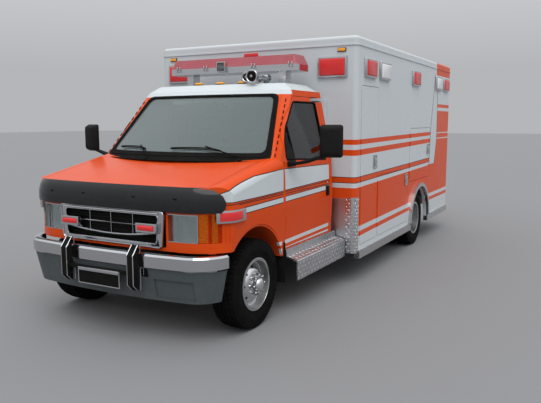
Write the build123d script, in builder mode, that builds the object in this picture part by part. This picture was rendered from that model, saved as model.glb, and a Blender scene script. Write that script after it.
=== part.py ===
from build123d import *
import os
from math import cos, radians, sin

os.makedirs("parts", exist_ok=True)

# Millimetres, +Z up, the front faces -Y and +X is the driver's side.
# A station is a distance behind the front axle.
front_overhang = 800.0
wheelbase = 4013.0
rear_overhang = 1947.0
vehicle_length = front_overhang + wheelbase + rear_overhang
front_axle_y = front_overhang - vehicle_length / 2

seat_gap = 0.3
door_gap = 5.0
sides = (("left", 1), ("right", -1))

# Wheels and tyres
tyre_radius = 372.0
tyre_width = 225.0
rim_radius = 205.0
rim_flange = 14.0
rim_wall = 9.0
front_tyre_centre = 877.0
dual_outer_centre = 1078.0
dual_spacing = 264.0
kingpin_offset = 800.0
kingpin_radius = 14.0
spindle_radius = 30.0
hub_radius = 76.0
lug_count = 8
lug_circle = 165.0
lug_radius = 13.0
hand_hole_count = 8
hand_hole_radius = 15.0
hand_hole_circle = 292.0
running_gap = 0.3

# Cab body
body_half = 1003.0
body_bottom = 520.0
body_tuck = 18.0
body_waist = 950.0
panel = 60.0
nose_centre = -625.0
nose_shoulder_x = 620.0
nose_shoulder = -598.0
nose_corner_x = 880.0
nose_corner = -518.0
nose_side = -380.0
cowl_station = 100.0
cowl_height = 1345.0
hood_slope = 0.2
shoulder_width = 122.0
shoulder_drop = 104.0
hood_crown = 14.0
clip_rear = 430.0
cab_rear = 1520.0
belt_height = 1345.0
roof_height = 1985.0
roof_rise = 70.0
roof_inset = 110.0
glass_thickness = 8.0
glass_recess = 8.0

# Hood
hood_half = 860.0
hood_front_bottom = 1062.0
hood_rear_centre = 58.0
hood_rear_corner = 236.0
deflector_thickness = 6.0
deflector_stand_off = 7.0
deflector_half = 965.0
deflector_top = 1218.0
deflector_bottom = 1036.0

# Cab doors
door_front = 485.0
door_rear = 1445.0
door_bottom = 585.0
door_top = 1925.0
door_hinge = (body_half, door_front + 8)
door_hinge_spans = ((868, 912), (988, 1032))

# Wheel openings
front_arch_radius = 500.0
front_arch_shift = -25.0
rear_arch_radius = 432.0
rear_arch_shift = 58.0
flare_width = 50.0
flare_depth = 34.0

# Box body
module_front = 1607.0
module_length = 4161.0
module_rear = module_front + module_length
module_half = 1219.0
module_bottom = 334.0
module_top = 2542.0
module_wall = 50.0
module_corner = 52.0
roof_edge_radius = 34.0
roof_edge_height = 96.0
corner_post = 123.0
module_floor_bottom = 620.0
module_floor_top = 700.0
partition_x = 760.0
partition_thickness = 20.0

# Frame
rail_outer = 430.0
rail_width = 70.0
rail_bottom = 460.0
rail_top = 600.0
rail_wall = 8.0
rail_front = -542.0
rail_rear = 5700.0


def at(station):
    """Y of a station, measured rearward from the front axle."""
    return front_axle_y + station


def block(x_span, s_span, z_span, mode=Mode.ADD):
    """Box between limits: across, station behind the front axle, and height."""
    size = [span[1] - span[0] for span in (x_span, s_span, z_span)]
    with Locations((sum(x_span) / 2, at(sum(s_span) / 2), sum(z_span) / 2)):
        return Box(*size, mode=mode)


def mirrored(x_span, side):
    """Limits across the vehicle, swapped to the named side."""
    return tuple(sorted((x_span[0] * side, x_span[1] * side)))


def side_plane(x):
    """Plane of constant X whose sketch axes are Y and Z."""
    return Plane(origin=(x, 0, 0), x_dir=(0, 1, 0), z_dir=(1, 0, 0))


def wall_plane(face, along, height):
    """Plane on an outer wall of the box: left, right, front or rear."""
    stand = {
        "left": ((module_half, at(along), height), (0, 1, 0), (1, 0, 0)),
        "right": ((-module_half, at(along), height), (0, -1, 0), (-1, 0, 0)),
        "front": ((along, at(module_front), height), (1, 0, 0), (0, -1, 0)),
        "rear": ((along, at(module_rear), height), (-1, 0, 0), (0, 1, 0)),
    }
    origin, x_dir, z_dir = stand[face]
    return Plane(origin=origin, x_dir=x_dir, z_dir=z_dir).offset(seat_gap)


def outline(points, radius=0.0, grow=0.0):
    """Closed face from corner points, grown all round and with its corners rounded."""
    with BuildSketch() as shape:
        with BuildLine():
            Polyline(*points, close=True)
        make_face()
        if grow:
            offset(amount=grow, kind=Kind.INTERSECTION)
        if radius:
            fillet(shape.vertices(), radius)
    return shape.sketch


def side_prism(points, x_span, radius=0.0, grow=0.0, mode=Mode.ADD):
    """Solid with a side-view outline of stations and heights, across a span of X."""
    corners = [(at(station), height) for station, height in points]
    face = side_plane(x_span[0]) * outline(corners, radius, grow)
    return extrude(face, amount=x_span[1] - x_span[0], dir=(1, 0, 0), mode=mode)


def front_prism(points, s_span, radius=0.0, grow=0.0, mode=Mode.ADD):
    """Solid with a front-view outline of X and heights, between two stations."""
    face = Plane.XZ.offset(-at(s_span[0])) * outline(points, radius, grow)
    return extrude(face, amount=s_span[1] - s_span[0], dir=(0, 1, 0), mode=mode)


def plan_prism(points, z_span, radius=0.0, grow=0.0, mode=Mode.ADD):
    """Solid with a plan outline of X and stations, between two heights."""
    corners = [(x, at(station)) for x, station in points]
    face = Plane.XY.offset(z_span[0]) * outline(corners, radius, grow)
    return extrude(face, amount=z_span[1] - z_span[0], dir=(0, 0, 1), mode=mode)


def rod(start, end, radius, mode=Mode.ADD):
    """Round bar between two points, each as X, station and height."""
    tail, tip = [Vector(x, at(station), height) for x, station, height in (start, end)]
    with Locations(Plane(origin=tail, z_dir=tip - tail)):
        return Cylinder(radius, (tip - tail).length, align=(Align.CENTER, Align.CENTER, Align.MIN), mode=mode)


def spun(profile, axle_station, mode=Mode.ADD):
    """Solid turned about a wheel's axle from a face of X and radius."""
    middle = (0, at(axle_station), tyre_radius)
    face = Plane(origin=middle, x_dir=(1, 0, 0), z_dir=(0, -1, 0)) * profile
    return revolve(face, axis=Axis(middle, (1, 0, 0)), mode=mode)


def front_section(station, inset):
    """Front-view outline of the nose, with its rounded shoulders, at one station."""
    top = cowl_height + hood_slope * (station - cowl_station) - inset
    half = body_half - inset
    bend = half - shoulder_width
    edge = top - hood_crown
    low = top - shoulder_drop
    mid = (half - shoulder_width * 0.24, top - hood_crown - shoulder_drop * 0.29)
    with BuildSketch(Plane.XZ.offset(-at(station))) as section:
        with BuildLine():
            Polyline((-half, low), (-half, body_waist), (body_tuck - half, body_bottom),
                     (half - body_tuck, body_bottom), (half, body_waist), (half, low))
            ThreePointArc((half, low), mid, (bend, edge))
            ThreePointArc((bend, edge), (0, top), (-bend, edge))
            ThreePointArc((-bend, edge), (-mid[0], mid[1]), (-half, low))
        make_face()
    return section.sketch


def nose_plan(inset):
    """Plan outline of the nose, rounded at its corners and inset all round."""
    shoulder = (nose_shoulder_x - 0.1 * inset, nose_shoulder + inset)
    corner = (nose_corner_x - 0.62 * inset, nose_corner + 0.78 * inset)
    side = (body_half - inset, nose_side)
    rear = clip_rear + panel
    with BuildSketch() as plan:
        with BuildLine():
            ThreePointArc((-shoulder[0], at(shoulder[1])), (0, at(nose_centre + inset)),
                          (shoulder[0], at(shoulder[1])))
            ThreePointArc((shoulder[0], at(shoulder[1])), (corner[0], at(corner[1])), (side[0], at(side[1])))
            Polyline((side[0], at(side[1])), (side[0], at(rear)), (-side[0], at(rear)), (-side[0], at(side[1])))
            ThreePointArc((-side[0], at(side[1])), (-corner[0], at(corner[1])),
                          (-shoulder[0], at(shoulder[1])))
        make_face()
    return plan.sketch


def nose_volume(inset):
    """Solid nose of the cab, inset all round."""
    with BuildPart() as volume:
        loft([front_section(-700, inset), front_section(clip_rear, inset)], ruled=True)
        extrude(nose_plan(inset), amount=1600, mode=Mode.INTERSECT)
    return volume.part


def greenhouse_outline(height, inset):
    """Plan outline of the cab above the belt, from its base to the roof."""
    low = ((950, 335), (985, 400), (985, cab_rear), 90)
    high = ((775, 860), (845, 900), (848, cab_rear), 800)
    share = (height - belt_height) / (roof_height - belt_height)

    def between(a, b):
        return a + (b - a) * share

    corner, side, rear = [tuple(map(between, a, b)) for a, b in zip(low[:3], high[:3])]
    centre = between(low[3], high[3])
    with BuildSketch(Plane.XY.offset(height)) as plan:
        with BuildLine():
            ThreePointArc((-corner[0], at(corner[1])), (0, at(centre)), (corner[0], at(corner[1])))
            Polyline((corner[0], at(corner[1])), (side[0], at(side[1])), (rear[0], at(rear[1])),
                     (-rear[0], at(rear[1])), (-side[0], at(side[1])), (-corner[0], at(corner[1])))
        make_face()
        if inset:
            offset(amount=-inset, kind=Kind.INTERSECTION)
    return plan.sketch


def greenhouse_volume(inset):
    """Solid cab above the belt, its sides, windshield and rear inset."""
    with BuildPart() as volume:
        loft([greenhouse_outline(belt_height, inset), greenhouse_outline(roof_height, inset)], ruled=True)
    return volume.part


def waist_section(inset):
    """Front-view outline of the cab's lower body beside the doors."""
    half = body_half - inset
    top_half = 985 - inset
    points = ((body_tuck - half, body_bottom), (half - body_tuck, body_bottom), (half, body_waist),
              (top_half, belt_height), (-top_half, belt_height), (-half, body_waist))
    return Plane.XZ.offset(-at(clip_rear)) * outline(points)


windshield_outline = ((-890, 1390), (890, 1390), (738, 1932), (-738, 1932))
door_outline = ((door_front, door_bottom), (door_front, belt_height), (530, 1540), (600, 1645), (850, 1895),
                (905, door_top), (1425, door_top), (door_rear, belt_height), (door_rear, door_bottom))
window_outline = ((527, 1366), (562, 1535), (632, 1646), (850, 1858), (884, 1875), (1352, 1875), (1378, 1320))


# The cab's skin: one wall thick, from which its panels are split
with BuildPart() as nose_skin:
    add(nose_volume(0))
    add(nose_volume(panel), mode=Mode.SUBTRACT)
    block((-900, 900), (-520, clip_rear + 100), (400, 760), mode=Mode.SUBTRACT)
    extrude(greenhouse_outline(belt_height, 0), amount=-200, mode=Mode.SUBTRACT)
    add(greenhouse_volume(0), mode=Mode.SUBTRACT)

with BuildPart() as cab_skin:
    extrude(waist_section(0), amount=cab_rear - clip_rear, dir=(0, 1, 0))
    add(greenhouse_volume(0))
    extrude(greenhouse_outline(belt_height, 0), amount=-panel)
    block((-body_half, body_half), (-100, clip_rear), (body_bottom, belt_height - panel), mode=Mode.SUBTRACT)
    extrude(waist_section(panel), amount=cab_rear - clip_rear, dir=(0, 1, 0), mode=Mode.SUBTRACT)
    add(greenhouse_volume(panel), mode=Mode.SUBTRACT)
    extrude(greenhouse_outline(belt_height, panel), amount=-panel, mode=Mode.SUBTRACT)
    block((-870, 870), (cab_rear - panel - 200, cab_rear + 1), (body_bottom, 1925), mode=Mode.SUBTRACT)


def hood_plan(grow):
    """Plan outline of the hood, its rear edge curved along the windshield."""
    half = hood_half + grow
    with BuildSketch() as plan:
        with BuildLine():
            Polyline((-half, at(hood_rear_corner + grow)), (-half, at(-760)), (half, at(-760)),
                     (half, at(hood_rear_corner + grow)))
            ThreePointArc((half, at(hood_rear_corner + grow)), (0, at(hood_rear_centre + grow)),
                          (-half, at(hood_rear_corner + grow)))
        make_face()
    return Plane.XY.offset(hood_front_bottom - grow) * plan.sketch


with BuildPart() as hood:
    add(nose_skin.part)
    extrude(hood_plan(0), amount=500, mode=Mode.INTERSECT)
hood.part.label = "hood"
export_step(hood.part, "parts/hood.step")

# Front clip: fenders, nose panel and wheel arches, with its pockets for grille and lamps
grille_half = 540.0
grille_bottom = 742.0
grille_top = 1022.0
lamp_inner = 556.0
lamp_outer = 800.0
corner_lamp_outer = 975.0
lamp_bottom = 792.0
lamp_top = 1008.0
apron_inner = 520.0
apron_thickness = 20.0
apron_top = 1050.0
clip_bottom = 716.0
arch_height = tyre_radius

stop_span = (30, 100)
liner_radius = 482.0
liner_inner = 560.0
liner_outer_x = body_half - 12
liner_bottom = 530.0

with BuildPart() as hood_stops:
    for _, side in sides:
        block(mirrored((apron_inner, apron_inner + apron_thickness), side), stop_span, (apron_top - 10, 1500))
    add(nose_volume(panel + seat_gap), mode=Mode.INTERSECT)

with BuildPart() as wheel_houses:
    for _, side in sides:
        x_span = mirrored((liner_inner, liner_outer_x), side)
        with Locations((sum(x_span) / 2, at(front_arch_shift), arch_height)):
            Cylinder(front_arch_radius + 6, x_span[1] - x_span[0], rotation=(0, 90, 0))
            Cylinder(liner_radius, 600, rotation=(0, 90, 0), mode=Mode.SUBTRACT)
    block((-body_half, body_half), (-700, 700), (-300, liner_bottom), mode=Mode.SUBTRACT)
    block((-body_half, body_half), (-700, -200), (-300, clip_bottom), mode=Mode.SUBTRACT)
    for _, side in sides:
        block(mirrored((body_half - panel - body_tuck - seat_gap, body_half), side),
              (clip_rear - seat_gap, 700), (0, 1600), mode=Mode.SUBTRACT)

with BuildPart() as front_clip:
    add(nose_skin.part)
    extrude(hood_plan(door_gap), amount=500, mode=Mode.SUBTRACT)
    for _, side in sides:
        block(mirrored((apron_inner, apron_inner + apron_thickness), side), (-570, 350), (610, apron_top))
    add(hood_stops.part)
    with Locations((0, at(front_arch_shift), arch_height)):
        Cylinder(front_arch_radius, 2 * body_half + 40, rotation=(0, 90, 0), mode=Mode.SUBTRACT)
    block((-body_half - 1, body_half + 1), (-760, nose_side + 10), (body_bottom - 1, clip_bottom),
          mode=Mode.SUBTRACT)
    add(wheel_houses.part)
    block((-grille_half, grille_half), (-760, -500), (grille_bottom, grille_top), mode=Mode.SUBTRACT)
    for _, side in sides:
        block(mirrored((lamp_inner, corner_lamp_outer), side), (-760, -500), (lamp_bottom, lamp_top),
              mode=Mode.SUBTRACT)
        block(mirrored((corner_lamp_outer - 100, body_half + 20), side), (-760, -455),
              (lamp_bottom, lamp_top), mode=Mode.SUBTRACT)
front_clip.part.label = "front_clip"
export_step(front_clip.part, "parts/front_clip.step")

with BuildPart() as headlamp_pockets:
    for _, side in sides:
        block(mirrored((lamp_inner + seat_gap, lamp_outer), side), (-760, -500 - seat_gap),
              (lamp_bottom + seat_gap, lamp_top - seat_gap))

with BuildPart() as headlamps:
    add(nose_skin.part)
    add(headlamp_pockets.part, mode=Mode.INTERSECT)
headlamps.part.label = "headlamps"
export_step(headlamps.part, "parts/headlamps.step")

with BuildPart() as corner_lamp_pockets:
    for _, side in sides:
        block(mirrored((lamp_outer + seat_gap, corner_lamp_outer - seat_gap), side), (-760, -500 - seat_gap),
              (lamp_bottom + seat_gap, lamp_top - seat_gap))
        block(mirrored((corner_lamp_outer - 100, body_half + 20), side), (-760, -455 - seat_gap),
              (lamp_bottom + seat_gap, lamp_top - seat_gap))

with BuildPart() as corner_lamps:
    add(nose_skin.part)
    add(corner_lamp_pockets.part, mode=Mode.INTERSECT)
corner_lamps.part.label = "corner_lamps"
export_step(corner_lamps.part, "parts/corner_lamps.step")

# Grille: a chromed frame with two heavy bars and thin uprights over a dark backing
grille_front = -632.0
grille_depth = 52.0
grille_bars = ((908, 16), (962, 10))
grille_uprights = (-270, -135, 0, 135, 270)
grille_sag = ((-506, 826), (-400, 800), (0, 778), (400, 800), (506, 826))
grille_bar_depth = 26.0
grille_corners = ((-515, grille_bottom), (515, grille_bottom), (grille_half, grille_top),
                  (-grille_half, grille_top))
grille_span = (grille_front, grille_front + grille_depth)

with BuildPart() as grille:
    front_prism(grille_corners, grille_span, radius=18, grow=-seat_gap)
    front_prism(grille_corners, (grille_front - 1, grille_front + grille_depth - 8), radius=14, grow=-24,
                mode=Mode.SUBTRACT)
    front_prism([*grille_sag, *((x, z - grille_bar_depth) for x, z in reversed(grille_sag))],
                (grille_front + 1, grille_front + grille_depth - 4))
    for height, thickness in grille_bars:
        block((-grille_half + 34, grille_half - 34), (grille_front + 4, grille_front + grille_depth - 4),
              (height - thickness / 2, height + thickness / 2))
    for x in grille_uprights:
        block((x - 3, x + 3), (grille_front + 14, grille_front + grille_depth - 4),
              (grille_bottom + 12, grille_top - 12))
grille.part.label = "grille"
export_step(grille.part, "parts/grille.step")

# Shield that stands off the hood's front edge on four pads
deflector_face = ((-deflector_half, 1074), (-deflector_half + 60, deflector_bottom),
                  (deflector_half - 60, deflector_bottom), (deflector_half, 1074),
                  (deflector_half - 22, 1168), (deflector_half - 130, 1206), (250, deflector_top),
                  (-250, deflector_top), (130 - deflector_half, 1206), (22 - deflector_half, 1168))
deflector_pads = (-640, -260, 260, 640)

with BuildPart() as deflector_pad_blocks:
    for x in deflector_pads:
        block((x - 18, x + 18), (-700, -500), (1110, 1150))
    extrude(nose_plan(-deflector_stand_off - 1), amount=1600, mode=Mode.INTERSECT)
    extrude(nose_plan(-seat_gap), amount=1600, mode=Mode.SUBTRACT)

with BuildPart() as hood_deflector:
    extrude(nose_plan(-deflector_stand_off - deflector_thickness), amount=1600)
    extrude(nose_plan(-deflector_stand_off), amount=1600, mode=Mode.SUBTRACT)
    front_prism(deflector_face, (-760, -475), radius=16, mode=Mode.INTERSECT)
    add(deflector_pad_blocks.part)
hood_deflector.part.label = "hood_deflector"
export_step(hood_deflector.part, "parts/hood_deflector.step")

# Cab frame: pillars, roof rails, sills and the ledge under the windshield
with BuildPart() as cab_frame:
    add(cab_skin.part)
    for _, side in sides:
        side_prism(door_outline, mirrored((640, 1100), side), grow=door_gap, mode=Mode.SUBTRACT)
    front_prism(windshield_outline, (-200, 1000), radius=55, mode=Mode.SUBTRACT)
cab_frame.part.label = "cab_frame"
export_step(cab_frame.part, "parts/cab_frame.step")

with BuildPart() as windshield:
    add(greenhouse_volume(glass_recess))
    add(greenhouse_volume(glass_recess + glass_thickness), mode=Mode.SUBTRACT)
    front_prism(windshield_outline, (-200, 1000), radius=55, grow=-seat_gap, mode=Mode.INTERSECT)
windshield.part.label = "windshield"
export_step(windshield.part, "parts/windshield.step")

with BuildPart() as cab_roof:
    loft([Plane.XY.offset(seat_gap) * greenhouse_outline(roof_height, 0),
          Plane.XY.offset(roof_rise) * greenhouse_outline(roof_height, roof_inset)], ruled=True)
    top_edges = cab_roof.edges().group_by(Axis.Z)[-1]
    fillet(top_edges, 40)
cab_roof.part.label = "cab_roof"
export_step(cab_roof.part, "parts/cab_roof.step")


def door_region(side):
    """Space a cab door takes up, with the round knuckles that fill the gap at its hinge."""
    x, station = door_hinge
    with BuildPart() as region:
        side_prism(door_outline, mirrored((640, 1100), side))
        for low, high in door_hinge_spans:
            rod((side * x, station, low), (side * x, station, high), station - door_front + door_gap - seat_gap)
    return region.part


for side_name, side in sides:
    with BuildPart() as cab_door:
        add(cab_skin.part)
        add(door_region(side), mode=Mode.INTERSECT)
        side_prism(window_outline, mirrored((640, 1100), side), radius=26, mode=Mode.SUBTRACT)
    cab_door.part.label = f"cab_door_{side_name}"
    export_step(cab_door.part, f"parts/cab_door_{side_name}.step")

    with BuildPart() as cab_glass:
        add(greenhouse_volume(glass_recess))
        extrude(greenhouse_outline(belt_height, glass_recess), amount=-panel)
        add(greenhouse_volume(glass_recess + glass_thickness), mode=Mode.SUBTRACT)
        extrude(greenhouse_outline(belt_height, glass_recess + glass_thickness), amount=-panel,
                mode=Mode.SUBTRACT)
        side_prism(window_outline, mirrored((640, 1100), side), radius=26, grow=-seat_gap,
                   mode=Mode.INTERSECT)
    cab_glass.part.label = f"cab_glass_{side_name}"
    export_step(cab_glass.part, f"parts/cab_glass_{side_name}.step")

# Mirrors: tall heads on two arms from each door, their glass turned towards the driver
mirror_x = 1378.0
mirror_station = 580.0
mirror_width = 216.0
mirror_depth = 76.0
mirror_height = (1378, 1674)
mirror_turn = 14.0
mirror_foot_x = 987.6

for side_name, side in sides:
    with BuildPart() as mirror:
        head_plane = Plane(origin=(side * mirror_x, at(mirror_station), mirror_height[0]),
                           x_dir=(cos(radians(mirror_turn)), side * sin(radians(mirror_turn)), 0), z_dir=(0, 0, 1))
        with BuildSketch(head_plane) as head:
            RectangleRounded(mirror_width, mirror_depth, 26)
        extrude(head.sketch, amount=mirror_height[1] - mirror_height[0])
        chamfer(mirror.edges().group_by(Axis.Z)[-1], 14)
        block(mirrored((mirror_foot_x, mirror_foot_x + 16), side), (530, 670), (1300, 1345))
        for foot_station in (556, 644):
            rod((side * (mirror_foot_x + 12), foot_station, 1322),
                (side * (mirror_x - 40), mirror_station, mirror_height[0] + 30), 11)
    mirror.part.label = f"mirror_{side_name}"
    export_step(mirror.part, f"parts/mirror_{side_name}.step")

# Cab floor, toe board, firewall and engine cover
floor_half = 922.0
floor_bottom = 604.0
floor_thickness = 34.0
cover_half = 290.0
cover_rear = 915.0
cover_top = 1050.0
cover_wall = 24.0
firewall = (362.0, 396.0)
floor_line = ((470, floor_bottom), (cab_rear, floor_bottom), (cab_rear, floor_bottom + floor_thickness),
              (504, floor_bottom + floor_thickness), (504, 920), (firewall[1], 920), (firewall[1], 1270),
              (firewall[0], 1270), (firewall[0], 886), (470, 886))

with BuildPart() as cab_floor:
    side_prism(floor_line, (-floor_half, floor_half))
    block((-cover_half, cover_half), (362, cover_rear), (floor_bottom, cover_top))
    block((cover_wall - cover_half, cover_half - cover_wall), (300, cover_rear - cover_wall),
          (floor_bottom - 10, cover_top - cover_wall), mode=Mode.SUBTRACT)
cab_floor.part.label = "cab_floor"
export_step(cab_floor.part, "parts/cab_floor.step")

dash_front = firewall[1] + seat_gap
dash_line = ((dash_front, 1284), (dash_front, 1130), (520, 1090), (600, 1110), (640, 1180), (636, 1240), (590, 1284))

with BuildPart() as dashboard:
    side_prism(dash_line, (-905, 905))
    fillet(dashboard.edges().filter_by(Axis.X).group_by(Axis.Y)[-1], 8)
dashboard.part.label = "dashboard"
export_step(dashboard.part, "parts/dashboard.step")

steering_x = 455.0
steering_tilt = 58.0
steering_centre = (steering_x, 800, 1190)
steering_radius = 190.0
column_direction = (0, -cos(radians(steering_tilt - 30)), -sin(radians(steering_tilt - 30)))

with BuildPart() as steering_wheel:
    wheel_plane = Plane(origin=(steering_x, at(steering_centre[1]), steering_centre[2]), x_dir=(1, 0, 0),
                        z_dir=column_direction)
    with Locations(wheel_plane):
        Cylinder(steering_radius + 14, 24)
        Cylinder(steering_radius - 14, 26, mode=Mode.SUBTRACT)
        Cylinder(42, 40)
        Box(2 * steering_radius - 6, 26, 14)
        Cylinder(20, 540, align=(Align.CENTER, Align.CENTER, Align.MIN))
    block((steering_x - 60, steering_x + 60), (firewall[0] - 60, firewall[1] + seat_gap), (880, 1300),
          mode=Mode.SUBTRACT)
steering_wheel.part.label = "steering_wheel"
export_step(steering_wheel.part, "parts/steering_wheel.step")

seat_x = 520.0
seat_half = 250.0
seat_line = ((930, 850), (950, 1000), (1300, 985), (1380, 1560), (1400, 1740), (1450, 1740), (1448, 1560),
             (1420, 880), (1400, 850))

with BuildPart() as cab_seats:
    for _, side in sides:
        side_prism(seat_line, mirrored((seat_x - seat_half, seat_x + seat_half), side), radius=20)
    for _, side in sides:
        block(mirrored((seat_x - 180, seat_x + 180), side), (1015, 1400),
              (floor_bottom + floor_thickness + seat_gap, 860))
        block(mirrored((seat_x - seat_half - 1, seat_x - 140), side), (1340, 1500), (1590, 1800),
              mode=Mode.SUBTRACT)
        block(mirrored((seat_x + 140, seat_x + seat_half + 1), side), (1340, 1500), (1590, 1800),
              mode=Mode.SUBTRACT)
cab_seats.part.label = "cab_seats"
export_step(cab_seats.part, "parts/cab_seats.step")

# Box body: one shell, split where its panels meet
with BuildPart() as module_skin:
    block((-module_half, module_half), (module_front, module_rear), (module_bottom, module_top))
    fillet(module_skin.edges().filter_by(Axis.Z), module_corner)
    fillet(module_skin.edges().group_by(Axis.Z)[-1], roof_edge_radius)
    block((module_wall - module_half, module_half - module_wall),
          (module_front + module_wall, module_rear - module_wall),
          (module_bottom - 1, module_top - module_wall), mode=Mode.SUBTRACT)

post_front = module_front + corner_post
post_rear = module_rear - corner_post
roof_line = module_top - roof_edge_height
inner_half = module_half - module_wall
every_x = (-module_half - 1, module_half + 1)

# Compartment doors: name, front and rear station, lower and upper edge
compartment_rows = (
    ("front", 1740, 2284, 402, 2060),
    ("middle", 2300, 3520, 402, 1096),
    ("upper", 3560, 4576, 906, 1604),
)
entry_door_front = 2560.0
entry_door_width = 770.0
entry_door_span = (entry_door_front, entry_door_front + entry_door_width)
entry_door_height = (404, 2112)
rear_door_half = 640.0
rear_door_height = (716, 2240)
rear_arch_centre = wheelbase + rear_arch_shift
skirt_inner = 720.0
chassis_clear = 612.0
gangway_half = 300.0
gangway_height = (module_floor_top + 20, 1900)

drip_rail_height = 12.0
drip_rail_stand = 9.0

with BuildPart() as roof_shell:
    add(module_skin.part)
    block(every_x, (module_front - 1, module_rear + 1), (roof_line + seat_gap, module_top + 1),
          mode=Mode.INTERSECT)

with BuildPart() as module_roof:
    with BuildSketch(Plane.XY.offset(roof_line + seat_gap)) as drip_rail:
        with Locations((0, at((module_front + module_rear) / 2))):
            RectangleRounded(2 * (module_half + drip_rail_stand), module_length + 2 * drip_rail_stand,
                             module_corner + drip_rail_stand)
            RectangleRounded(2 * inner_half, module_length - 2 * module_wall, module_corner / 2, mode=Mode.SUBTRACT)
    extrude(drip_rail.sketch, amount=drip_rail_height)
    add(roof_shell.part)
module_roof.part.label = "module_roof"
export_step(module_roof.part, "parts/module_roof.step")


def arch_cut(radius, x_span):
    """Wheel opening in a side wall: a half round, straight down below the axle."""
    with Locations((sum(x_span) / 2, at(rear_arch_centre), tyre_radius)):
        Cylinder(radius, x_span[1] - x_span[0], rotation=(0, 90, 0), mode=Mode.SUBTRACT)
    block(x_span, (rear_arch_centre - radius, rear_arch_centre + radius), (module_bottom - 100, tyre_radius),
          mode=Mode.SUBTRACT)


with BuildPart() as module_left_wall:
    add(module_skin.part)
    block((inner_half, module_half + 1), (post_front, post_rear), (module_bottom - 1, roof_line),
          mode=Mode.INTERSECT)
    for _, start, end, low, high in compartment_rows:
        side_prism(((start, low), (end, low), (end, high), (start, high)), (inner_half - 1, module_half + 1),
                   radius=24, mode=Mode.SUBTRACT)
    arch_cut(rear_arch_radius, (inner_half - 10, module_half + 10))
module_left_wall.part.label = "module_left_wall"
export_step(module_left_wall.part, "parts/module_left_wall.step")

with BuildPart() as module_right_wall:
    add(module_skin.part)
    block((-module_half - 1, -inner_half), (post_front, post_rear), (module_bottom - 1, roof_line),
          mode=Mode.INTERSECT)
    side_prism(((entry_door_span[0], entry_door_height[0]), (entry_door_span[1], entry_door_height[0]),
                (entry_door_span[1], entry_door_height[1]), (entry_door_span[0], entry_door_height[1])),
               (-module_half - 1, 1 - inner_half), radius=40, mode=Mode.SUBTRACT)
    arch_cut(rear_arch_radius, (-module_half - 10, 10 - inner_half))
module_right_wall.part.label = "module_right_wall"
export_step(module_right_wall.part, "parts/module_right_wall.step")

with BuildPart() as module_front_wall:
    add(module_skin.part)
    block(every_x, (module_front - 1, post_front - seat_gap), (module_bottom - 1, roof_line),
          mode=Mode.INTERSECT)
    block((-900, 900), (cab_rear + seat_gap, module_front + 1), (chassis_clear, 1900))
    block((-860, 860), (cab_rear - 1, module_front), (chassis_clear + 30, 1860), mode=Mode.SUBTRACT)
    block((-gangway_half, gangway_half), (cab_rear - 1, post_front + 1), gangway_height, mode=Mode.SUBTRACT)
    block((-skirt_inner, skirt_inner), (cab_rear - 1, post_front + 1), (module_bottom - 1, chassis_clear),
          mode=Mode.SUBTRACT)
module_front_wall.part.label = "module_front_wall"
export_step(module_front_wall.part, "parts/module_front_wall.step")

with BuildPart() as module_rear_frame:
    add(module_skin.part)
    block(every_x, (post_rear + seat_gap, module_rear + 1), (module_bottom - 1, roof_line),
          mode=Mode.INTERSECT)
    front_prism(((-rear_door_half, rear_door_height[0]), (rear_door_half, rear_door_height[0]),
                 (rear_door_half, rear_door_height[1]), (-rear_door_half, rear_door_height[1])),
                (post_rear, module_rear + 1), radius=40, mode=Mode.SUBTRACT)
    block((-skirt_inner, skirt_inner), (post_rear - 1, module_rear + 1), (module_bottom - 1, chassis_clear),
          mode=Mode.SUBTRACT)
module_rear_frame.part.label = "module_rear_frame"
export_step(module_rear_frame.part, "parts/module_rear_frame.step")

# Load floor with its wheel boxes and the step well inside the entry door
well_inner = 650.0
well_outer = inner_half - seat_gap
well_top = 862.0
well_wall = 14.0
well_span = (rear_arch_centre - rear_arch_radius - well_wall, rear_arch_centre + rear_arch_radius + well_wall)
step_inner = 860.0
floor_span = (module_front + module_wall + seat_gap, module_rear - module_wall - seat_gap)

with BuildPart() as module_floor:
    block((-well_outer, partition_x - seat_gap), floor_span, (module_floor_bottom, module_floor_top))
    for _, side in sides:
        block(mirrored((well_inner, well_outer), side), well_span, (module_floor_bottom, well_top))
    for _, side in sides:
        block(mirrored((well_inner + well_wall, well_outer + 1), side),
              (well_span[0] + well_wall, well_span[1] - well_wall), (module_floor_bottom - 1, well_top - well_wall),
              mode=Mode.SUBTRACT)
    block((-well_outer, -step_inner), entry_door_span, (400, module_floor_bottom))
    block((-well_outer - 1, -step_inner - well_wall), (entry_door_span[0] + well_wall, entry_door_span[1] - well_wall),
          (400 + well_wall, module_floor_top + 1), mode=Mode.SUBTRACT)
module_floor.part.label = "module_floor"
export_step(module_floor.part, "parts/module_floor.step")

# Cabinet wall behind the left-hand compartments, with its dividers and pans
divider = 14.0
liner_outer = inner_half - seat_gap
liner_top = roof_line - 4
pan_bottom = 366.0

with BuildPart() as compartment_liners:
    block((partition_x, partition_x + partition_thickness), (post_front, well_span[0] - seat_gap),
          (pan_bottom, liner_top))
    block((partition_x, partition_x + partition_thickness), (well_span[0] - 1, post_rear),
          (well_top + seat_gap, liner_top))
    for station in (post_front - divider, 2285, 3538, 4590, post_rear - divider):
        low = pan_bottom if station < well_span[0] - divider else well_top + seat_gap
        block((partition_x, liner_outer), (station, station + divider), (low, liner_top))
    block((partition_x, liner_outer), (post_front, 3538 + divider), (pan_bottom, pan_bottom + divider))
    block((partition_x, liner_outer), (2285, 3538 + divider), (1112, 1112 + divider))
    block((partition_x, liner_outer), (3538, 4590 + divider), (well_top + seat_gap, well_top + seat_gap + divider))
    block((partition_x, liner_outer), (3538, 4590 + divider), (1640, 1640 + divider))
    block((partition_x, liner_outer), (post_front, 2285 + divider), (2090, 2090 + divider))
compartment_liners.part.label = "compartment_liners"
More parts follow.
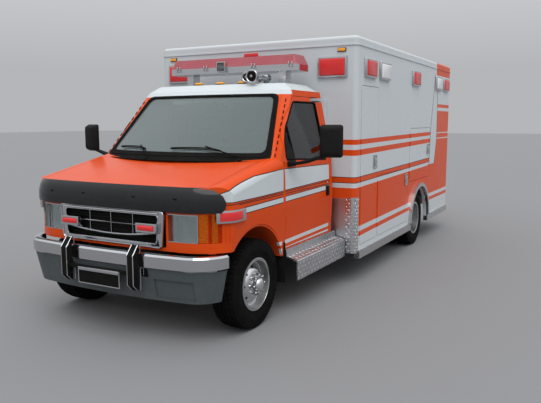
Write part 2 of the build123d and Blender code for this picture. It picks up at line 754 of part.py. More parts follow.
export_step(compartment_liners.part, "parts/compartment_liners.step")

# Squad bench along the right-hand wall, over the wheel box
bench_inner = 640.0
bench_top = 1130.0
bench_span = (3480, 5560)

with BuildPart() as bench_seat:
    block((-well_outer + seat_gap, -bench_inner), bench_span, (module_floor_top + seat_gap, bench_top - 80))
    block((-well_outer, -bench_inner + 1), (well_span[0] - seat_gap, well_span[1] + seat_gap),
          (module_floor_top, well_top + seat_gap), mode=Mode.SUBTRACT)
    block((-well_outer + seat_gap, 20 - bench_inner), bench_span, (bench_top - 80, bench_top))
    block((-well_outer + seat_gap, -well_outer + 90), bench_span, (bench_top, bench_top + 420))
bench_seat.part.label = "bench_seat"
export_step(bench_seat.part, "parts/bench_seat.step")

# Doors of the box: each as thick as the wall, with a gap all round and a continuous hinge along one edge
door_corner = 20.0
hinge_set = 3.0
hinge_stand = 4.0
hinge_radius = 4.7
leaf_width_on_door = 30.0
leaf_sheet = 2.5

for name, start, end, low, high in compartment_rows:
    with BuildPart() as compartment_door:
        side_prism(((start, low), (end, low), (end, high), (start, high)), (inner_half, module_half),
                   radius=door_corner, grow=-door_gap)
        rod((module_half + hinge_stand, start + hinge_set, low + 40),
            (module_half + hinge_stand, start + hinge_set, high - 40), hinge_radius)
        block((module_half - 1, module_half + leaf_sheet), (start + hinge_set, start + leaf_width_on_door),
              (low + 40, high - 40))
    compartment_door.part.label = f"compartment_door_{name}"
    export_step(compartment_door.part, f"parts/compartment_door_{name}.step")

entry_corners = ((entry_door_span[0], entry_door_height[0]), (entry_door_span[1], entry_door_height[0]),
                 (entry_door_span[1], entry_door_height[1]), (entry_door_span[0], entry_door_height[1]))
entry_window_margin = 140.0
entry_window_height = (1440, 1960)
entry_window = [(station, height) for station, height in (
    (entry_door_span[0] + entry_window_margin, entry_window_height[0]),
    (entry_door_span[1] - entry_window_margin, entry_window_height[0]),
    (entry_door_span[1] - entry_window_margin, entry_window_height[1]),
    (entry_door_span[0] + entry_window_margin, entry_window_height[1]))]
box_glass_thickness = 6.0

with BuildPart() as side_entry_door:
    side_prism(entry_corners, (-module_half, -inner_half), radius=36, grow=-door_gap)
    side_prism(entry_window, (-module_half - 1, 1 - inner_half), radius=50, mode=Mode.SUBTRACT)
    side_prism(entry_window, (-module_half + 16, 16 + box_glass_thickness - module_half), radius=50, grow=1)
    rod((-module_half - hinge_stand, entry_door_span[0] + hinge_set, entry_door_height[0] + 40),
        (-module_half - hinge_stand, entry_door_span[0] + hinge_set, entry_door_height[1] - 40), hinge_radius)
    block((-module_half - leaf_sheet, 1 - module_half),
          (entry_door_span[0] + hinge_set, entry_door_span[0] + leaf_width_on_door),
          (entry_door_height[0] + 40, entry_door_height[1] - 40))
side_entry_door.part.label = "side_entry_door"
export_step(side_entry_door.part, "parts/side_entry_door.step")

rear_window = ((130, 1500), (530, 1500), (530, 2040), (130, 2040))

for side_name, side in sides:
    with BuildPart() as rear_door:
        corners = [(side * x, z) for x, z in ((0, rear_door_height[0]), (rear_door_half, rear_door_height[0]),
                                              (rear_door_half, rear_door_height[1]), (0, rear_door_height[1]))]
        front_prism(corners, (module_rear - module_wall, module_rear), radius=36, grow=-door_gap)
        front_prism([(side * x, z) for x, z in rear_window], (module_rear - module_wall - 1, module_rear + 1),
                    radius=50, mode=Mode.SUBTRACT)
        front_prism([(side * x, z) for x, z in rear_window],
                    (module_rear - 16 - box_glass_thickness, module_rear - 16), radius=50, grow=1)
        rod((side * (rear_door_half - hinge_set), module_rear + hinge_stand, rear_door_height[0] + 40),
            (side * (rear_door_half - hinge_set), module_rear + hinge_stand, rear_door_height[1] - 40), hinge_radius)
        block(mirrored((rear_door_half - leaf_width_on_door, rear_door_half - hinge_set), side),
              (module_rear - 1, module_rear + leaf_sheet), (rear_door_height[0] + 40, rear_door_height[1] - 40))
    rear_door.part.label = f"rear_door_{side_name}"
    export_step(rear_door.part, f"parts/rear_door_{side_name}.step")

# Chassis: rails, crossmembers, engine, axles and shafts
# Crossmembers: station and lower edge, clear of the shaft that passes them
crossmember_rows = ((-420, 468), (640, 468), (1900, 562), (3200, 472), (4700, 540), (5560, 540))
outrigger_rows = (1880, 3280)
cab_mount_stations = (560, 1420)
module_mount_stations = (1790, 2600, 3420, 4640, 5580)
mount_x = rail_outer - rail_width / 2
mount_radius = 34.0
outrigger_end = partition_x - 6

with BuildPart() as frame_rails:
    for _, side in sides:
        block(mirrored((rail_outer - rail_width, rail_outer), side), (rail_front, rail_rear),
              (rail_bottom, rail_top))
        block(mirrored((rail_outer - rail_width - 1, rail_outer - rail_wall), side),
              (rail_front - 1, rail_rear + 1), (rail_bottom + rail_wall, rail_top - rail_wall), mode=Mode.SUBTRACT)
    for station, low in crossmember_rows:
        block((rail_wall - rail_outer, rail_outer - rail_wall), (station - 30, station + 30), (low, low + 30))
    for _, side in sides:
        for station in outrigger_rows:
            block(mirrored((rail_outer, outrigger_end), side), (station, station + 60), (rail_bottom + 40, rail_top))
        for stations, seat in ((cab_mount_stations, floor_bottom), (module_mount_stations, module_floor_bottom)):
            for station in stations:
                rod((side * mount_x, station, rail_top - 1), (side * mount_x, station, seat - seat_gap), mount_radius)
frame_rails.part.label = "frame_rails"
export_step(frame_rails.part, "parts/frame_rails.step")

gearbox_rear = 1300.0

with BuildPart() as engine_block:
    block((-252, 252), (-380, 560), (530, 1010))
    block((-210, 210), (-340, 470), (400, 530))
    block((-150, 150), (560, gearbox_rear), (510, 598))
    chamfer(engine_block.edges().filter_by(Axis.Y).group_by(Axis.Z)[-1], 60)
engine_block.part.label = "engine_block"
export_step(engine_block.part, "parts/engine_block.step")

# Front beam with a boss at each kingpin, coil springs and their seats under the rails
boss_radius = 34.0
boss_half_height = 60.0
beam_height = 90.0
spring_station = 0.0
spring_x = 505.0

with BuildPart() as front_axle:
    front_prism(((-kingpin_offset, tyre_radius - 40), (-560, tyre_radius - 90), (560, tyre_radius - 90),
                 (kingpin_offset, tyre_radius - 40), (kingpin_offset, tyre_radius + 40),
                 (560, tyre_radius - 90 + beam_height), (-560, tyre_radius - 90 + beam_height),
                 (-kingpin_offset, tyre_radius + 40)), (-38, 38))
    for _, side in sides:
        rod((side * kingpin_offset, 0, tyre_radius - boss_half_height),
            (side * kingpin_offset, 0, tyre_radius + boss_half_height), boss_radius)
        rod((side * spring_x, spring_station, tyre_radius - 20),
            (side * spring_x, spring_station, rail_top + 40), 62)
        block(mirrored((rail_outer + seat_gap, spring_x + 70), side), (spring_station - 80, spring_station + 80),
              (rail_top - 20, rail_top + 60))
        rod((side * 520, 0, tyre_radius - 50), (side * 400, 900, rail_bottom - 40), 22)
        block(mirrored((rail_outer - rail_width, rail_outer), side), (860, 940),
              (rail_bottom - 60, rail_bottom - seat_gap))
    for _, side in sides:
        rod((side * kingpin_offset, 0, tyre_radius - 100), (side * kingpin_offset, 0, tyre_radius + 100),
            kingpin_radius + running_gap, mode=Mode.SUBTRACT)
front_axle.part.label = "front_axle"
export_step(front_axle.part, "parts/front_axle.step")

# Rear axle tube, differential, leaf springs and their hangers beside the rails
axle_tube_radius = 58.0
dual_middle = dual_outer_centre - dual_spacing / 2
axle_end = dual_middle - dual_spacing / 2 - tyre_width / 2 - 12
axle_spindle_radius = 42.0
spindle_end = dual_middle + 60
leaf_inner = rail_outer + 36
leaf_width = 70.0
leaf_span = (wheelbase - 640, wheelbase + 640)

with BuildPart() as rear_axle:
    rod((-axle_end, wheelbase, tyre_radius), (axle_end, wheelbase, tyre_radius), axle_tube_radius)
    rod((-spindle_end, wheelbase, tyre_radius), (spindle_end, wheelbase, tyre_radius), axle_spindle_radius)
    rod((-110, wheelbase, tyre_radius), (110, wheelbase, tyre_radius), 150)
    chamfer(rear_axle.edges().filter_by(GeomType.CIRCLE).filter_by(lambda e: e.radius > 149), 50)
    rod((0, wheelbase - 260, tyre_radius), (0, wheelbase, tyre_radius), 60)
    for _, side in sides:
        side_prism(((leaf_span[0], 500), (wheelbase - 300, 440), (wheelbase - 60, tyre_radius + 40),
                    (wheelbase + 60, tyre_radius + 40), (wheelbase + 300, 440), (leaf_span[1], 500),
                    (leaf_span[1], 516), (wheelbase + 200, 488), (wheelbase - 200, 488), (leaf_span[0], 516)),
                   mirrored((leaf_inner, leaf_inner + leaf_width), side))
        for station in leaf_span:
            block(mirrored((rail_outer + seat_gap, leaf_inner + leaf_width), side), (station - 30, station + 30),
                  (490, 570))
rear_axle.part.label = "rear_axle"
export_step(rear_axle.part, "parts/rear_axle.step")

with BuildPart() as driveshaft:
    rod((0, gearbox_rear + 4, 556), (0, wheelbase - 264, tyre_radius), 44)
driveshaft.part.label = "driveshaft"
export_step(driveshaft.part, "parts/driveshaft.step")

exhaust_x = 520.0
exhaust_radius = 32.0
exhaust_tail_sweep = 100.0
exhaust_tyre_gap = 179.0
exhaust_bend = wheelbase - tyre_radius - exhaust_tyre_gap - exhaust_radius - exhaust_tail_sweep

with BuildPart() as exhaust:
    rod((-exhaust_x, 700, 420), (-exhaust_x, exhaust_bend, 420), exhaust_radius)
    rod((-exhaust_x, 2010, 392), (-exhaust_x, 2700, 392), 104)
    rod((-exhaust_x, exhaust_bend - 24, 420), (-1080, exhaust_bend + exhaust_tail_sweep, 400), exhaust_radius)
    for station in (1200, 2900):
        block((-exhaust_x - 10, -rail_outer - seat_gap), (station, station + 40), (410, 520))
exhaust.part.label = "exhaust"
export_step(exhaust.part, "parts/exhaust.step")

with BuildPart() as fuel_tank:
    block((-330, 330), (4760, 5480), (340, module_floor_bottom - seat_gap))
    fillet(fuel_tank.edges().filter_by(Axis.X), 40)
fuel_tank.part.label = "fuel_tank"
export_step(fuel_tank.part, "parts/fuel_tank.step")

# Wheels: tyre and rim sections turned about the axle
tread_half = tyre_width / 2 - 26
bead_half = 90.0
bead_top = rim_radius + rim_flange + 3
flange_width = 12.0
bulge_radius = 292.0
shoulder_radius = 352.0


def tyre_face(centre):
    """Tyre section: tread, shoulders, bulged sidewalls and beads, at a place along the axle."""
    half = tyre_width / 2
    base = rim_radius + running_gap
    rising = ((bead_half, base), (bead_half, bead_top), (half, bulge_radius), (half - 6, shoulder_radius),
              (tread_half, tyre_radius))
    return outline([(centre + x, radius) for x, radius in rising]
                   + [(centre - x, radius) for x, radius in reversed(rising)])


def rim_face(centre):
    """Rim section: a barrel between two flanges."""
    inner = rim_radius - rim_wall
    low, high = centre - bead_half - flange_width, centre + bead_half + flange_width
    top = rim_radius + rim_flange
    return outline(((low, inner), (high, inner), (high, top), (centre + bead_half + running_gap, top),
                    (centre + bead_half + running_gap, rim_radius), (centre - bead_half - running_gap, rim_radius),
                    (centre - bead_half - running_gap, top), (low, top)))


hub_bore = spindle_radius + running_gap
front_disc = ((bead_half - 50, rim_radius - 4), (bead_half - 62, 172), (bead_half - 62, 124),
              (bead_half - 6, 112), (bead_half + 6, hub_radius - 14), (bead_half + 56, hub_radius - 20),
              (bead_half + 72, 30), (bead_half + 72, 0), (bead_half + 30, 0), (bead_half + 30, hub_bore),
              (8, hub_bore), (8, 116), (bead_half - 76, 120), (bead_half - 76, rim_radius - 4))

for side_name, side in sides:
    with BuildPart() as front_wheel:
        spun(tyre_face(0), 0)
        spun(rim_face(0), 0)
        spun(outline(front_disc), 0)
        hub_plane = Plane(origin=(bead_half, at(0), tyre_radius), z_dir=(1, 0, 0))
        with Locations(hub_plane):
            with PolarLocations(lug_circle / 2, lug_count):
                Cylinder(lug_radius, 64)
            with PolarLocations(hand_hole_circle / 2, hand_hole_count):
                Cylinder(hand_hole_radius, 200, mode=Mode.SUBTRACT)
    turned = front_wheel.part if side == 1 else front_wheel.part.mirror(Plane.YZ)
    placed = turned.translate((side * front_tyre_centre, 0, 0))
    with BuildPart() as front_wheel_placed:
        add(placed)
    front_wheel_placed.part.label = f"front_wheel_{side_name}"
    export_step(front_wheel_placed.part, f"parts/front_wheel_{side_name}.step")

    with BuildPart() as knuckle:
        fork = tyre_radius + boss_half_height + running_gap + 1
        for low, high in ((fork, fork + 32), (2 * tyre_radius - fork - 32, 2 * tyre_radius - fork)):
            block(mirrored((kingpin_offset - 34, kingpin_offset + 76), side), (-34, 34), (low, high))
        block(mirrored((kingpin_offset + 42, kingpin_offset + 76), side), (-34, 34),
              (2 * tyre_radius - fork - 32, fork + 32))
        rod((side * kingpin_offset, 0, 2 * tyre_radius - fork - 20), (side * kingpin_offset, 0, fork + 20),
            kingpin_radius)
        rod((side * (kingpin_offset + 60), 0, tyre_radius),
            (side * (front_tyre_centre + bead_half + 26), 0, tyre_radius), spindle_radius)
        block(mirrored((kingpin_offset - 20, kingpin_offset + 10), side), (30, 150),
              (2 * tyre_radius - fork - 32, 2 * tyre_radius - fork - 8))
    knuckle.part.label = f"knuckle_{side_name}"
    export_step(knuckle.part, f"parts/knuckle_{side_name}.step")

axle_bore = axle_spindle_radius + running_gap
dual_half = dual_spacing / 2
dual_disc = ((-10, axle_bore), (100, axle_bore), (100, hub_radius), (12, hub_radius + 4), (12, 150),
             (dual_half - bead_half + 4, rim_radius - 4), (dual_half - bead_half - 14, rim_radius - 4),
             (0, 166), (bead_half - dual_half + 14, rim_radius - 4), (bead_half - dual_half - 4, rim_radius - 4),
             (-10, 150))

for side_name, side in sides:
    with BuildPart() as rear_wheels:
        for centre in (-dual_half, dual_half):
            spun(tyre_face(centre), wheelbase)
            spun(rim_face(centre), wheelbase)
        spun(outline(dual_disc), wheelbase)
        hub_plane = Plane(origin=(12, at(wheelbase), tyre_radius), z_dir=(1, 0, 0))
        with Locations(hub_plane):
            with PolarLocations(lug_circle / 2 + 14, lug_count):
                Cylinder(lug_radius, 60)
            with PolarLocations(hand_hole_circle / 2 - 18, hand_hole_count):
                Cylinder(hand_hole_radius, 120, mode=Mode.SUBTRACT)
    turned = rear_wheels.part if side == 1 else rear_wheels.part.mirror(Plane.YZ)
    placed = turned.translate((side * dual_middle, 0, 0))
    with BuildPart() as rear_wheels_placed:
        add(placed)
    rear_wheels_placed.part.label = f"rear_wheels_{side_name}"
    export_step(rear_wheels_placed.part, f"parts/rear_wheels_{side_name}.step")

# Bumper: chromed bar and the plastic valance under it, both following the nose
bumper_front = -745.0
bumper_shoulder = (720.0, -702.0)
bumper_corner = (905.0, -628.0)
bumper_end = (1003.0, -452.0)
bumper_wall = 62.0
bumper_roll = 14.0
bumper_bottom = 592.0
bumper_top = 706.0
valance_bottom = 340.0


def bumper_plan(inset, height):
    """Plan band along the bumper's front, at a height, from its face inward."""
    rim = [(bumper_shoulder[0] - 0.15 * inset, bumper_shoulder[1] + inset),
           (bumper_corner[0] - 0.6 * inset, bumper_corner[1] + 0.8 * inset),
           (bumper_end[0] - inset, bumper_end[1])]
    front = bumper_front + inset
    with BuildSketch() as plan:
        with BuildLine():
            ThreePointArc((-rim[0][0], at(rim[0][1])), (0, at(front)), (rim[0][0], at(rim[0][1])))
            ThreePointArc(*[(x, at(s)) for x, s in rim])
            Line((rim[2][0], at(rim[2][1])), (-rim[2][0], at(rim[2][1])))
            ThreePointArc(*[(-x, at(s)) for x, s in reversed(rim)])
        make_face()
    return Plane.XY.offset(height) * plan.sketch


with BuildPart() as front_bumper:
    loft([bumper_plan(bumper_roll, bumper_bottom), bumper_plan(0, bumper_bottom + bumper_roll),
          bumper_plan(0, bumper_top - bumper_roll), bumper_plan(bumper_roll, bumper_top)], ruled=True)
    extrude(bumper_plan(bumper_wall, bumper_bottom - 1), amount=bumper_top - bumper_bottom + 2, mode=Mode.SUBTRACT)
    for _, side in sides:
        block(mirrored((rail_outer - rail_width, rail_outer), side), (-700, rail_front - seat_gap),
              (bumper_bottom - 60, bumper_bottom + 60))
front_bumper.part.label = "front_bumper"
export_step(front_bumper.part, "parts/front_bumper.step")

recess_x = (480, 812)
recess_height = (362, 515)
recess_depth = 12.0

with BuildPart() as valance_recess:
    block(recess_x, (-800, -500), recess_height)
    loft([bumper_plan(16 + recess_depth, bumper_bottom + 1), bumper_plan(70 + recess_depth, valance_bottom - 1)],
         ruled=True, mode=Mode.SUBTRACT)

with BuildPart() as bumper_valance:
    loft([bumper_plan(16, bumper_bottom - seat_gap), bumper_plan(70, valance_bottom)], ruled=True)
    loft([bumper_plan(46, bumper_bottom + 1), bumper_plan(100, valance_bottom - 1)], ruled=True, mode=Mode.SUBTRACT)
    for _, side in sides:
        block(mirrored((rail_outer - rail_width - 8, rail_outer + 8), side), (-720, -500),
              (bumper_bottom - 70, bumper_bottom + 10), mode=Mode.SUBTRACT)
    add(valance_recess.part, mode=Mode.SUBTRACT)
bumper_valance.part.label = "bumper_valance"
export_step(bumper_valance.part, "parts/bumper_valance.step")

guard_x = 345.0
guard_half = 27.0
guard_height = (418, 772)
guard_foot = bumper_front + 30
plate_face = -775.0
plate_thickness = 10.0
plate_hole_spacing = 177.8
plate_hole_radius = 3.5
plate_hole_height = 500.0

with BuildPart() as bumper_guards:
    for _, side in sides:
        side_prism(((-front_overhang, 470), (guard_foot - 30, guard_height[0]), (guard_foot, guard_height[0]),
                    (guard_foot, guard_height[1]), (guard_foot - 26, guard_height[1]), (-front_overhang, 700)),
                   mirrored((guard_x - guard_half, guard_x + guard_half), side), radius=9)
    block((-guard_x, guard_x), (plate_face, guard_foot), (536, 562))
    block((-210, 210), (plate_face, plate_face + plate_thickness), (424, 540))
    extrude(bumper_plan(-seat_gap, guard_height[0] - 1), amount=guard_height[1] - guard_height[0] + 2,
            mode=Mode.SUBTRACT)
    for x in (-plate_hole_spacing / 2, plate_hole_spacing / 2):
        rod((x, plate_face - 1, plate_hole_height), (x, plate_face + plate_thickness + 1, plate_hole_height),
            plate_hole_radius, mode=Mode.SUBTRACT)
bumper_guards.part.label = "bumper_guards"
export_step(bumper_guards.part, "parts/bumper_guards.step")

# Running boards: a tread plate on a folded skirt, under each cab door
sill_face = body_half - body_tuck * (body_waist - 572) / (body_waist - body_bottom) + seat_gap
board_line = ((sill_face, 572), (1004, 572), (1012, 512), (1112, 486), (1120, 478), (1120, 306), (1108, 306),
              (1108, 470), (1006, 496), (sill_face, 500))
board_span = (478, 1584)

with BuildPart() as running_boards:
    for _, side in sides:
        front_prism([(side * x, z) for x, z in board_line], board_span)
running_boards.part.label = "running_boards"
export_step(running_boards.part, "parts/running_boards.step")

# Trim along the foot of the box: rub rails and the tread-plate corner guards
rub_depth = 18.0
rub_height = (264, 350)
guard_top = 916.0
guard_sheet = 3.0
guard_inner = 1108.0
guard_rear = module_front + 92

with BuildPart() as rub_rails:
    block((-module_half - guard_sheet, module_half + guard_sheet),
          (module_front - guard_sheet, module_front + 200), (module_bottom, guard_top))
    fillet(rub_rails.edges().filter_by(Axis.Z).group_by(Axis.Y)[0], module_corner + guard_sheet)
    with BuildSketch(Plane.XY.offset(module_bottom - 1)) as box_foot:
        with Locations((0, at((module_front + module_rear) / 2))):
            RectangleRounded(2 * (module_half + seat_gap), module_length + 2 * seat_gap, module_corner)
    extrude(box_foot.sketch, amount=guard_top, mode=Mode.SUBTRACT)
    block((-guard_inner, guard_inner), (module_front - 10, module_front + 10), (module_bottom - 1, guard_top + 1),
          mode=Mode.SUBTRACT)
    block((-module_half - 10, module_half + 10), (guard_rear, module_front + 202),
          (module_bottom - 1, guard_top + 1), mode=Mode.SUBTRACT)
    for _, side in sides:
        for span in ((guard_rear + 2, rear_arch_centre - rear_arch_radius - 4),
                     (rear_arch_centre + rear_arch_radius + 4, module_rear - module_corner)):
            block(mirrored((module_half - 40, module_half + rub_depth), side), span,
                  (rub_height[0], module_bottom - seat_gap))
            block(mirrored((module_half + seat_gap, module_half + rub_depth), side), span, rub_height)
rub_rails.part.label = "rub_rails"
export_step(rub_rails.part, "parts/rub_rails.step")

with BuildPart() as wheel_flares:
    for _, side in sides:
        span = mirrored((module_half + seat_gap, module_half + flare_depth), side)
        for radius, mode in ((rear_arch_radius + flare_width, Mode.ADD), (rear_arch_radius, Mode.SUBTRACT)):
            with Locations((sum(span) / 2, at(rear_arch_centre), tyre_radius)):
                Cylinder(radius, span[1] - span[0] + (0 if mode == Mode.ADD else 2), rotation=(0, 90, 0), mode=mode)
        block(mirrored((module_half - 2, module_half + 60), side),
              (rear_arch_centre - 700, rear_arch_centre + 700), (-200, rub_height[1] + 2), mode=Mode.SUBTRACT)
wheel_flares.part.label = "wheel_flares"
export_step(wheel_flares.part, "parts/wheel_flares.step")

# Lamps: face, place along it, height, width and tall, each on the wall
red_rows = (
    ("front", -1010, 2238, 210, 220), ("front", 1010, 2238, 210, 220),
    ("left", 1972, 2240, 345, 200), ("left", 3740, 2240, 345, 200), ("left", 5435, 2240, 345, 200),
    ("right", 1972, 2240, 345, 200), ("right", 3740, 2240, 345, 200), ("right", 5435, 2240, 345, 200),
    ("rear", -1010, 2238, 210, 220), ("rear", 1010, 2238, 210, 220),
)
white_rows = (("left", 2445, 2240, 350, 200), ("left", 4975, 2240, 350, 200),
              ("right", 2445, 2240, 350, 200), ("right", 4975, 2240, 350, 200))
lamp_depth = 30.0


def wall_lamp(face, along, height, width, tall, depth=lamp_depth):
    """Lamp with a tapered bezel, standing on an outer wall of the box."""
    with BuildSketch(wall_plane(face, along, height)) as base:
        RectangleRounded(width, tall, 18)
    extrude(base.sketch, amount=depth, taper=16)


grille_lamp = ((296, 500), (-690, grille_front + 4 - seat_gap), (850, 938))
fender_lamp_span = (-494, -225)
fender_lamp_height = (942, 1038)
fender_lamp_depth = 26.0

with BuildPart() as fender_lamps:
    add(nose_volume(-fender_lamp_depth))
    block((-1100, 1100), fender_lamp_span, fender_lamp_height, mode=Mode.INTERSECT)
    add(nose_volume(-seat_gap), mode=Mode.SUBTRACT)
    block((-860, 860), (-800, 0), (0, 1600), mode=Mode.SUBTRACT)

with BuildPart() as warning_lights:
    for row in red_rows:
        wall_lamp(*row)
    for _, side in sides:
        block(mirrored(grille_lamp[0], side), *grille_lamp[1:])
    add(fender_lamps.part)
warning_lights.part.label = "warning_lights"
export_step(warning_lights.part, "parts/warning_lights.step")

with BuildPart() as scene_lights:
    for row in white_rows:
        wall_lamp(*row)
scene_lights.part.label = "scene_lights"
export_step(scene_lights.part, "parts/scene_lights.step")

# Light bar on two feet over the cab roof: side, a chromed base and a domed lens
bar_half = 770.0
bar_station = 1310.0
bar_depth = 300.0
bar_base_height = (2186, 2248)
bar_top = 2343.0
bar_foot_x = 560.0
cap_top = roof_height + roof_rise

with BuildPart() as light_bar:
    block((-bar_half, bar_half), (bar_station - bar_depth / 2, bar_station + bar_depth / 2), bar_base_height)
    fillet(light_bar.edges().filter_by(Axis.Z), 60)
    for _, side in sides:
        block(mirrored((bar_foot_x - 40, bar_foot_x + 40), side), (bar_station - 60, bar_station + 60),
              (cap_top + seat_gap, bar_base_height[0] + 1))
light_bar.part.label = "light_bar"
export_step(light_bar.part, "parts/light_bar.step")

with BuildPart() as light_bar_lens:
    with BuildSketch(Plane.XY.offset(bar_base_height[1] + seat_gap)) as lens_foot:
        with Locations((0, at(bar_station))):
            RectangleRounded(2 * bar_half, bar_depth, 60)
    extrude(lens_foot.sketch, amount=bar_top - bar_base_height[1] - seat_gap, taper=26)
light_bar_lens.part.label = "light_bar_lens"
export_step(light_bar_lens.part, "parts/light_bar_lens.step")

# Clearance lamps: on the cab roof, and along the upper front and rear of the box
cab_marker_x = (-520, -260, 0, 260, 520)
cab_marker_station = 985.0
box_marker_rows = (("front", -1050), ("front", -130), ("front", 0), ("front", 130), ("front", 1050),
                   ("rear", -1050), ("rear", -130), ("rear", 0), ("rear", 130), ("rear", 1050))
box_marker_height = 2405.0

with BuildPart() as marker_lights:
    for x in cab_marker_x:
        with BuildSketch(Plane.XY.offset(cap_top + seat_gap)) as marker_foot:
            with Locations((x, at(cab_marker_station))):
                RectangleRounded(96, 62, 20)
        extrude(marker_foot.sketch, amount=30, taper=28)
    for face, along in box_marker_rows:
        wall_lamp(face, along, box_marker_height, 96, 40, depth=20)
marker_lights.part.label = "marker_lights"
export_step(marker_lights.part, "parts/marker_lights.step")

# Air horns: two trumpets on the cab roof, their bells forward
horn_rows = ((430, 870, 1150, 62), (330, 940, 1150, 50))
horn_height = cap_top + 66

with BuildPart() as air_horns:
    for x, mouth, tail, bell in horn_rows:
        with BuildSketch(Plane(origin=(x, at(mouth), horn_height), x_dir=(1, 0, 0), z_dir=(0, -1, 0))) as flare:
            Circle(bell)
        with BuildSketch(Plane(origin=(x, at(mouth + 120), horn_height), x_dir=(1, 0, 0), z_dir=(0, -1, 0))) as throat:
            Circle(20)
        loft([flare.sketch, throat.sketch], ruled=True)
        rod((x, mouth + 110, horn_height), (x, tail, horn_height), 20)
        rod((x, tail - 20, horn_height), (x, tail + 40, horn_height), 40)
        block((x - 20, x + 20), (tail - 10, tail + 20), (cap_top + seat_gap, horn_height))
    block((horn_rows[1][0], horn_rows[0][0]), (1145, 1175), (horn_height - 12, horn_height + 12))
air_horns.part.label = "air_horns"
export_step(air_horns.part, "parts/air_horns.step")

# Rear step on arms from the rails
step_height = (432, 492)
step_half = 1060.0
step_rear = wheelbase + rear_overhang

with BuildPart() as rear_step:
    plan_prism(((-step_half, module_rear + 14), (step_half, module_rear + 14), (step_half, step_rear - 50),
                (step_half - 90, step_rear), (90 - step_half, step_rear), (-step_half, step_rear - 50)), step_height)
    for _, side in sides:
        block(mirrored((rail_outer - rail_width, rail_outer), side), (rail_rear + seat_gap, module_rear + 20),
              (step_height[0], rail_top - 20))
rear_step.part.label = "rear_step"
export_step(rear_step.part, "parts/rear_step.step")

tail_rows = (("rear", 930, 1180, 150, 190), ("rear", 930, 970, 150, 190), ("rear", 1100, 1180, 150, 190))

with BuildPart() as tail_lamps:
    for face, along, height, width, tall in tail_rows:
        for _, side in sides:
            wall_lamp(face, side * along, height, width, tall, depth=22)
tail_lamps.part.label = "tail_lamps"
export_step(tail_lamps.part, "parts/tail_lamps.step")
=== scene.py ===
"""Looks of a box-bodied ambulance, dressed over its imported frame."""

import logging
from contextlib import contextmanager
from dataclasses import dataclass
from enum import Enum
from math import cos, pi, radians, sin, sqrt
from typing import Iterable, Iterator, Sequence

import bpy
from mathutils import Matrix, Vector


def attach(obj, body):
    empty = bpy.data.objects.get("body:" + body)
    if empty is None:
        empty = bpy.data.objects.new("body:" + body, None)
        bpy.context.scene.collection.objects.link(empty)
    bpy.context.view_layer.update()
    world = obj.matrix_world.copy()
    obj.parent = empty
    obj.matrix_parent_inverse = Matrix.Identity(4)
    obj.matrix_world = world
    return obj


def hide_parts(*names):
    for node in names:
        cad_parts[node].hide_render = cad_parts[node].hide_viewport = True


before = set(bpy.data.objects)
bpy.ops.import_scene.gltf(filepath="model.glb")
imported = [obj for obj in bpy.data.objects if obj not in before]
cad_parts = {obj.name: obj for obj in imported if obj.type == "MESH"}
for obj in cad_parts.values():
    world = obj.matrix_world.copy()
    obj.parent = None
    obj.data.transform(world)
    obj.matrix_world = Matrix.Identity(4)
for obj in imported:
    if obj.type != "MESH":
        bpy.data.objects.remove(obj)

log = logging.getLogger("ambulance")
Piece = bpy.types.Object
Flat = tuple[float, float]
Line = tuple[Flat, ...]
Point = tuple[float, float, float]
Colour = tuple[float, float, float]
SIDES = (("left", 1), ("right", -1))

# Metres. A station is a distance behind the front axle.
FRONT_AXLE_Y = -2.580
WHEELBASE = 4.013
TYRE_RADIUS = 0.372
MODULE_FRONT = 1.607
MODULE_REAR = 5.768
MODULE_HALF = 1.219
BELT = 1.345
WAIST = 0.950
SILL_DROP = 0.43
SILL_TUCK = 0.018
BODY_HALF = 1.003
BELT_HALF = 0.985
ROOF_HALF = 0.848
GLASS_RISE = 0.64
MERGE = 2e-5

# Plan of a front face: its middle, its bend, a point of the end arc and its end.
NOSE_PLAN = ((0, -0.625), (0.620, -0.598), (0.880, -0.518), (BODY_HALF, -0.380))
BUMPER_PLAN = ((0, -0.745), (0.720, -0.702), (0.905, -0.628), (BODY_HALF, -0.452))

# Points that a rounded corner has after its first.
CORNER_STEPS = 4

# Frames of simulation that fill a cushion.
SWELL_FRAMES = 20


def at(station: float) -> float:
    """Y of a station."""
    return FRONT_AXLE_Y + station


def spot(point: Point) -> Vector:
    """Place in the row's frame of an X, station and height."""
    return Vector((point[0], at(point[1]), point[2]))


def shade(red: float, green: float, blue: float) -> Colour:
    """Linear colour from display values of 0 to 255.

    Args:
        red, green, blue: the colour as a screen shows it.

    Returns:
        The same colour as the shaders take it.
    """
    def linear(value: float) -> float:
        """One channel, from display to linear."""
        share = value / 255
        return share / 12.92 if share <= 0.04045 else ((share + 0.055) / 1.055) ** 2.4

    return linear(red), linear(green), linear(blue)


class Tone(Enum):
    """Colours of the livery."""

    ORANGE = shade(218, 74, 14)
    WHITE = shade(205, 212, 214)
    BOX = shade(204, 210, 213)
    DARK = shade(44, 34, 33)


DUST = shade(150, 142, 130)


class Wall(Enum):
    """Outer walls of the box, each with its turn from facing forward."""

    FRONT = 0
    LEFT = pi / 2
    REAR = pi
    RIGHT = -pi / 2


# Modelling

def clear_selection() -> None:
    """Leaves object mode on and nothing selected."""
    if bpy.context.mode != "OBJECT":
        bpy.ops.object.mode_set(mode="OBJECT")
    bpy.ops.object.select_all(action="DESELECT")


def pick(*objects: Piece) -> Piece:
    """Selects only these objects.

    Args:
        objects: what to select; the first becomes the active one.

    Returns:
        The active object.
    """
    clear_selection()
    for one in objects:
        one.select_set(True)
    bpy.context.view_layer.objects.active = objects[0]
    return objects[0]


@contextmanager
def editing() -> Iterator[None]:
    """Edit mode on the active piece, with all of it selected."""
    bpy.ops.object.mode_set(mode="EDIT")
    bpy.ops.mesh.select_all(action="SELECT")
    yield
    bpy.ops.object.mode_set(mode="OBJECT")


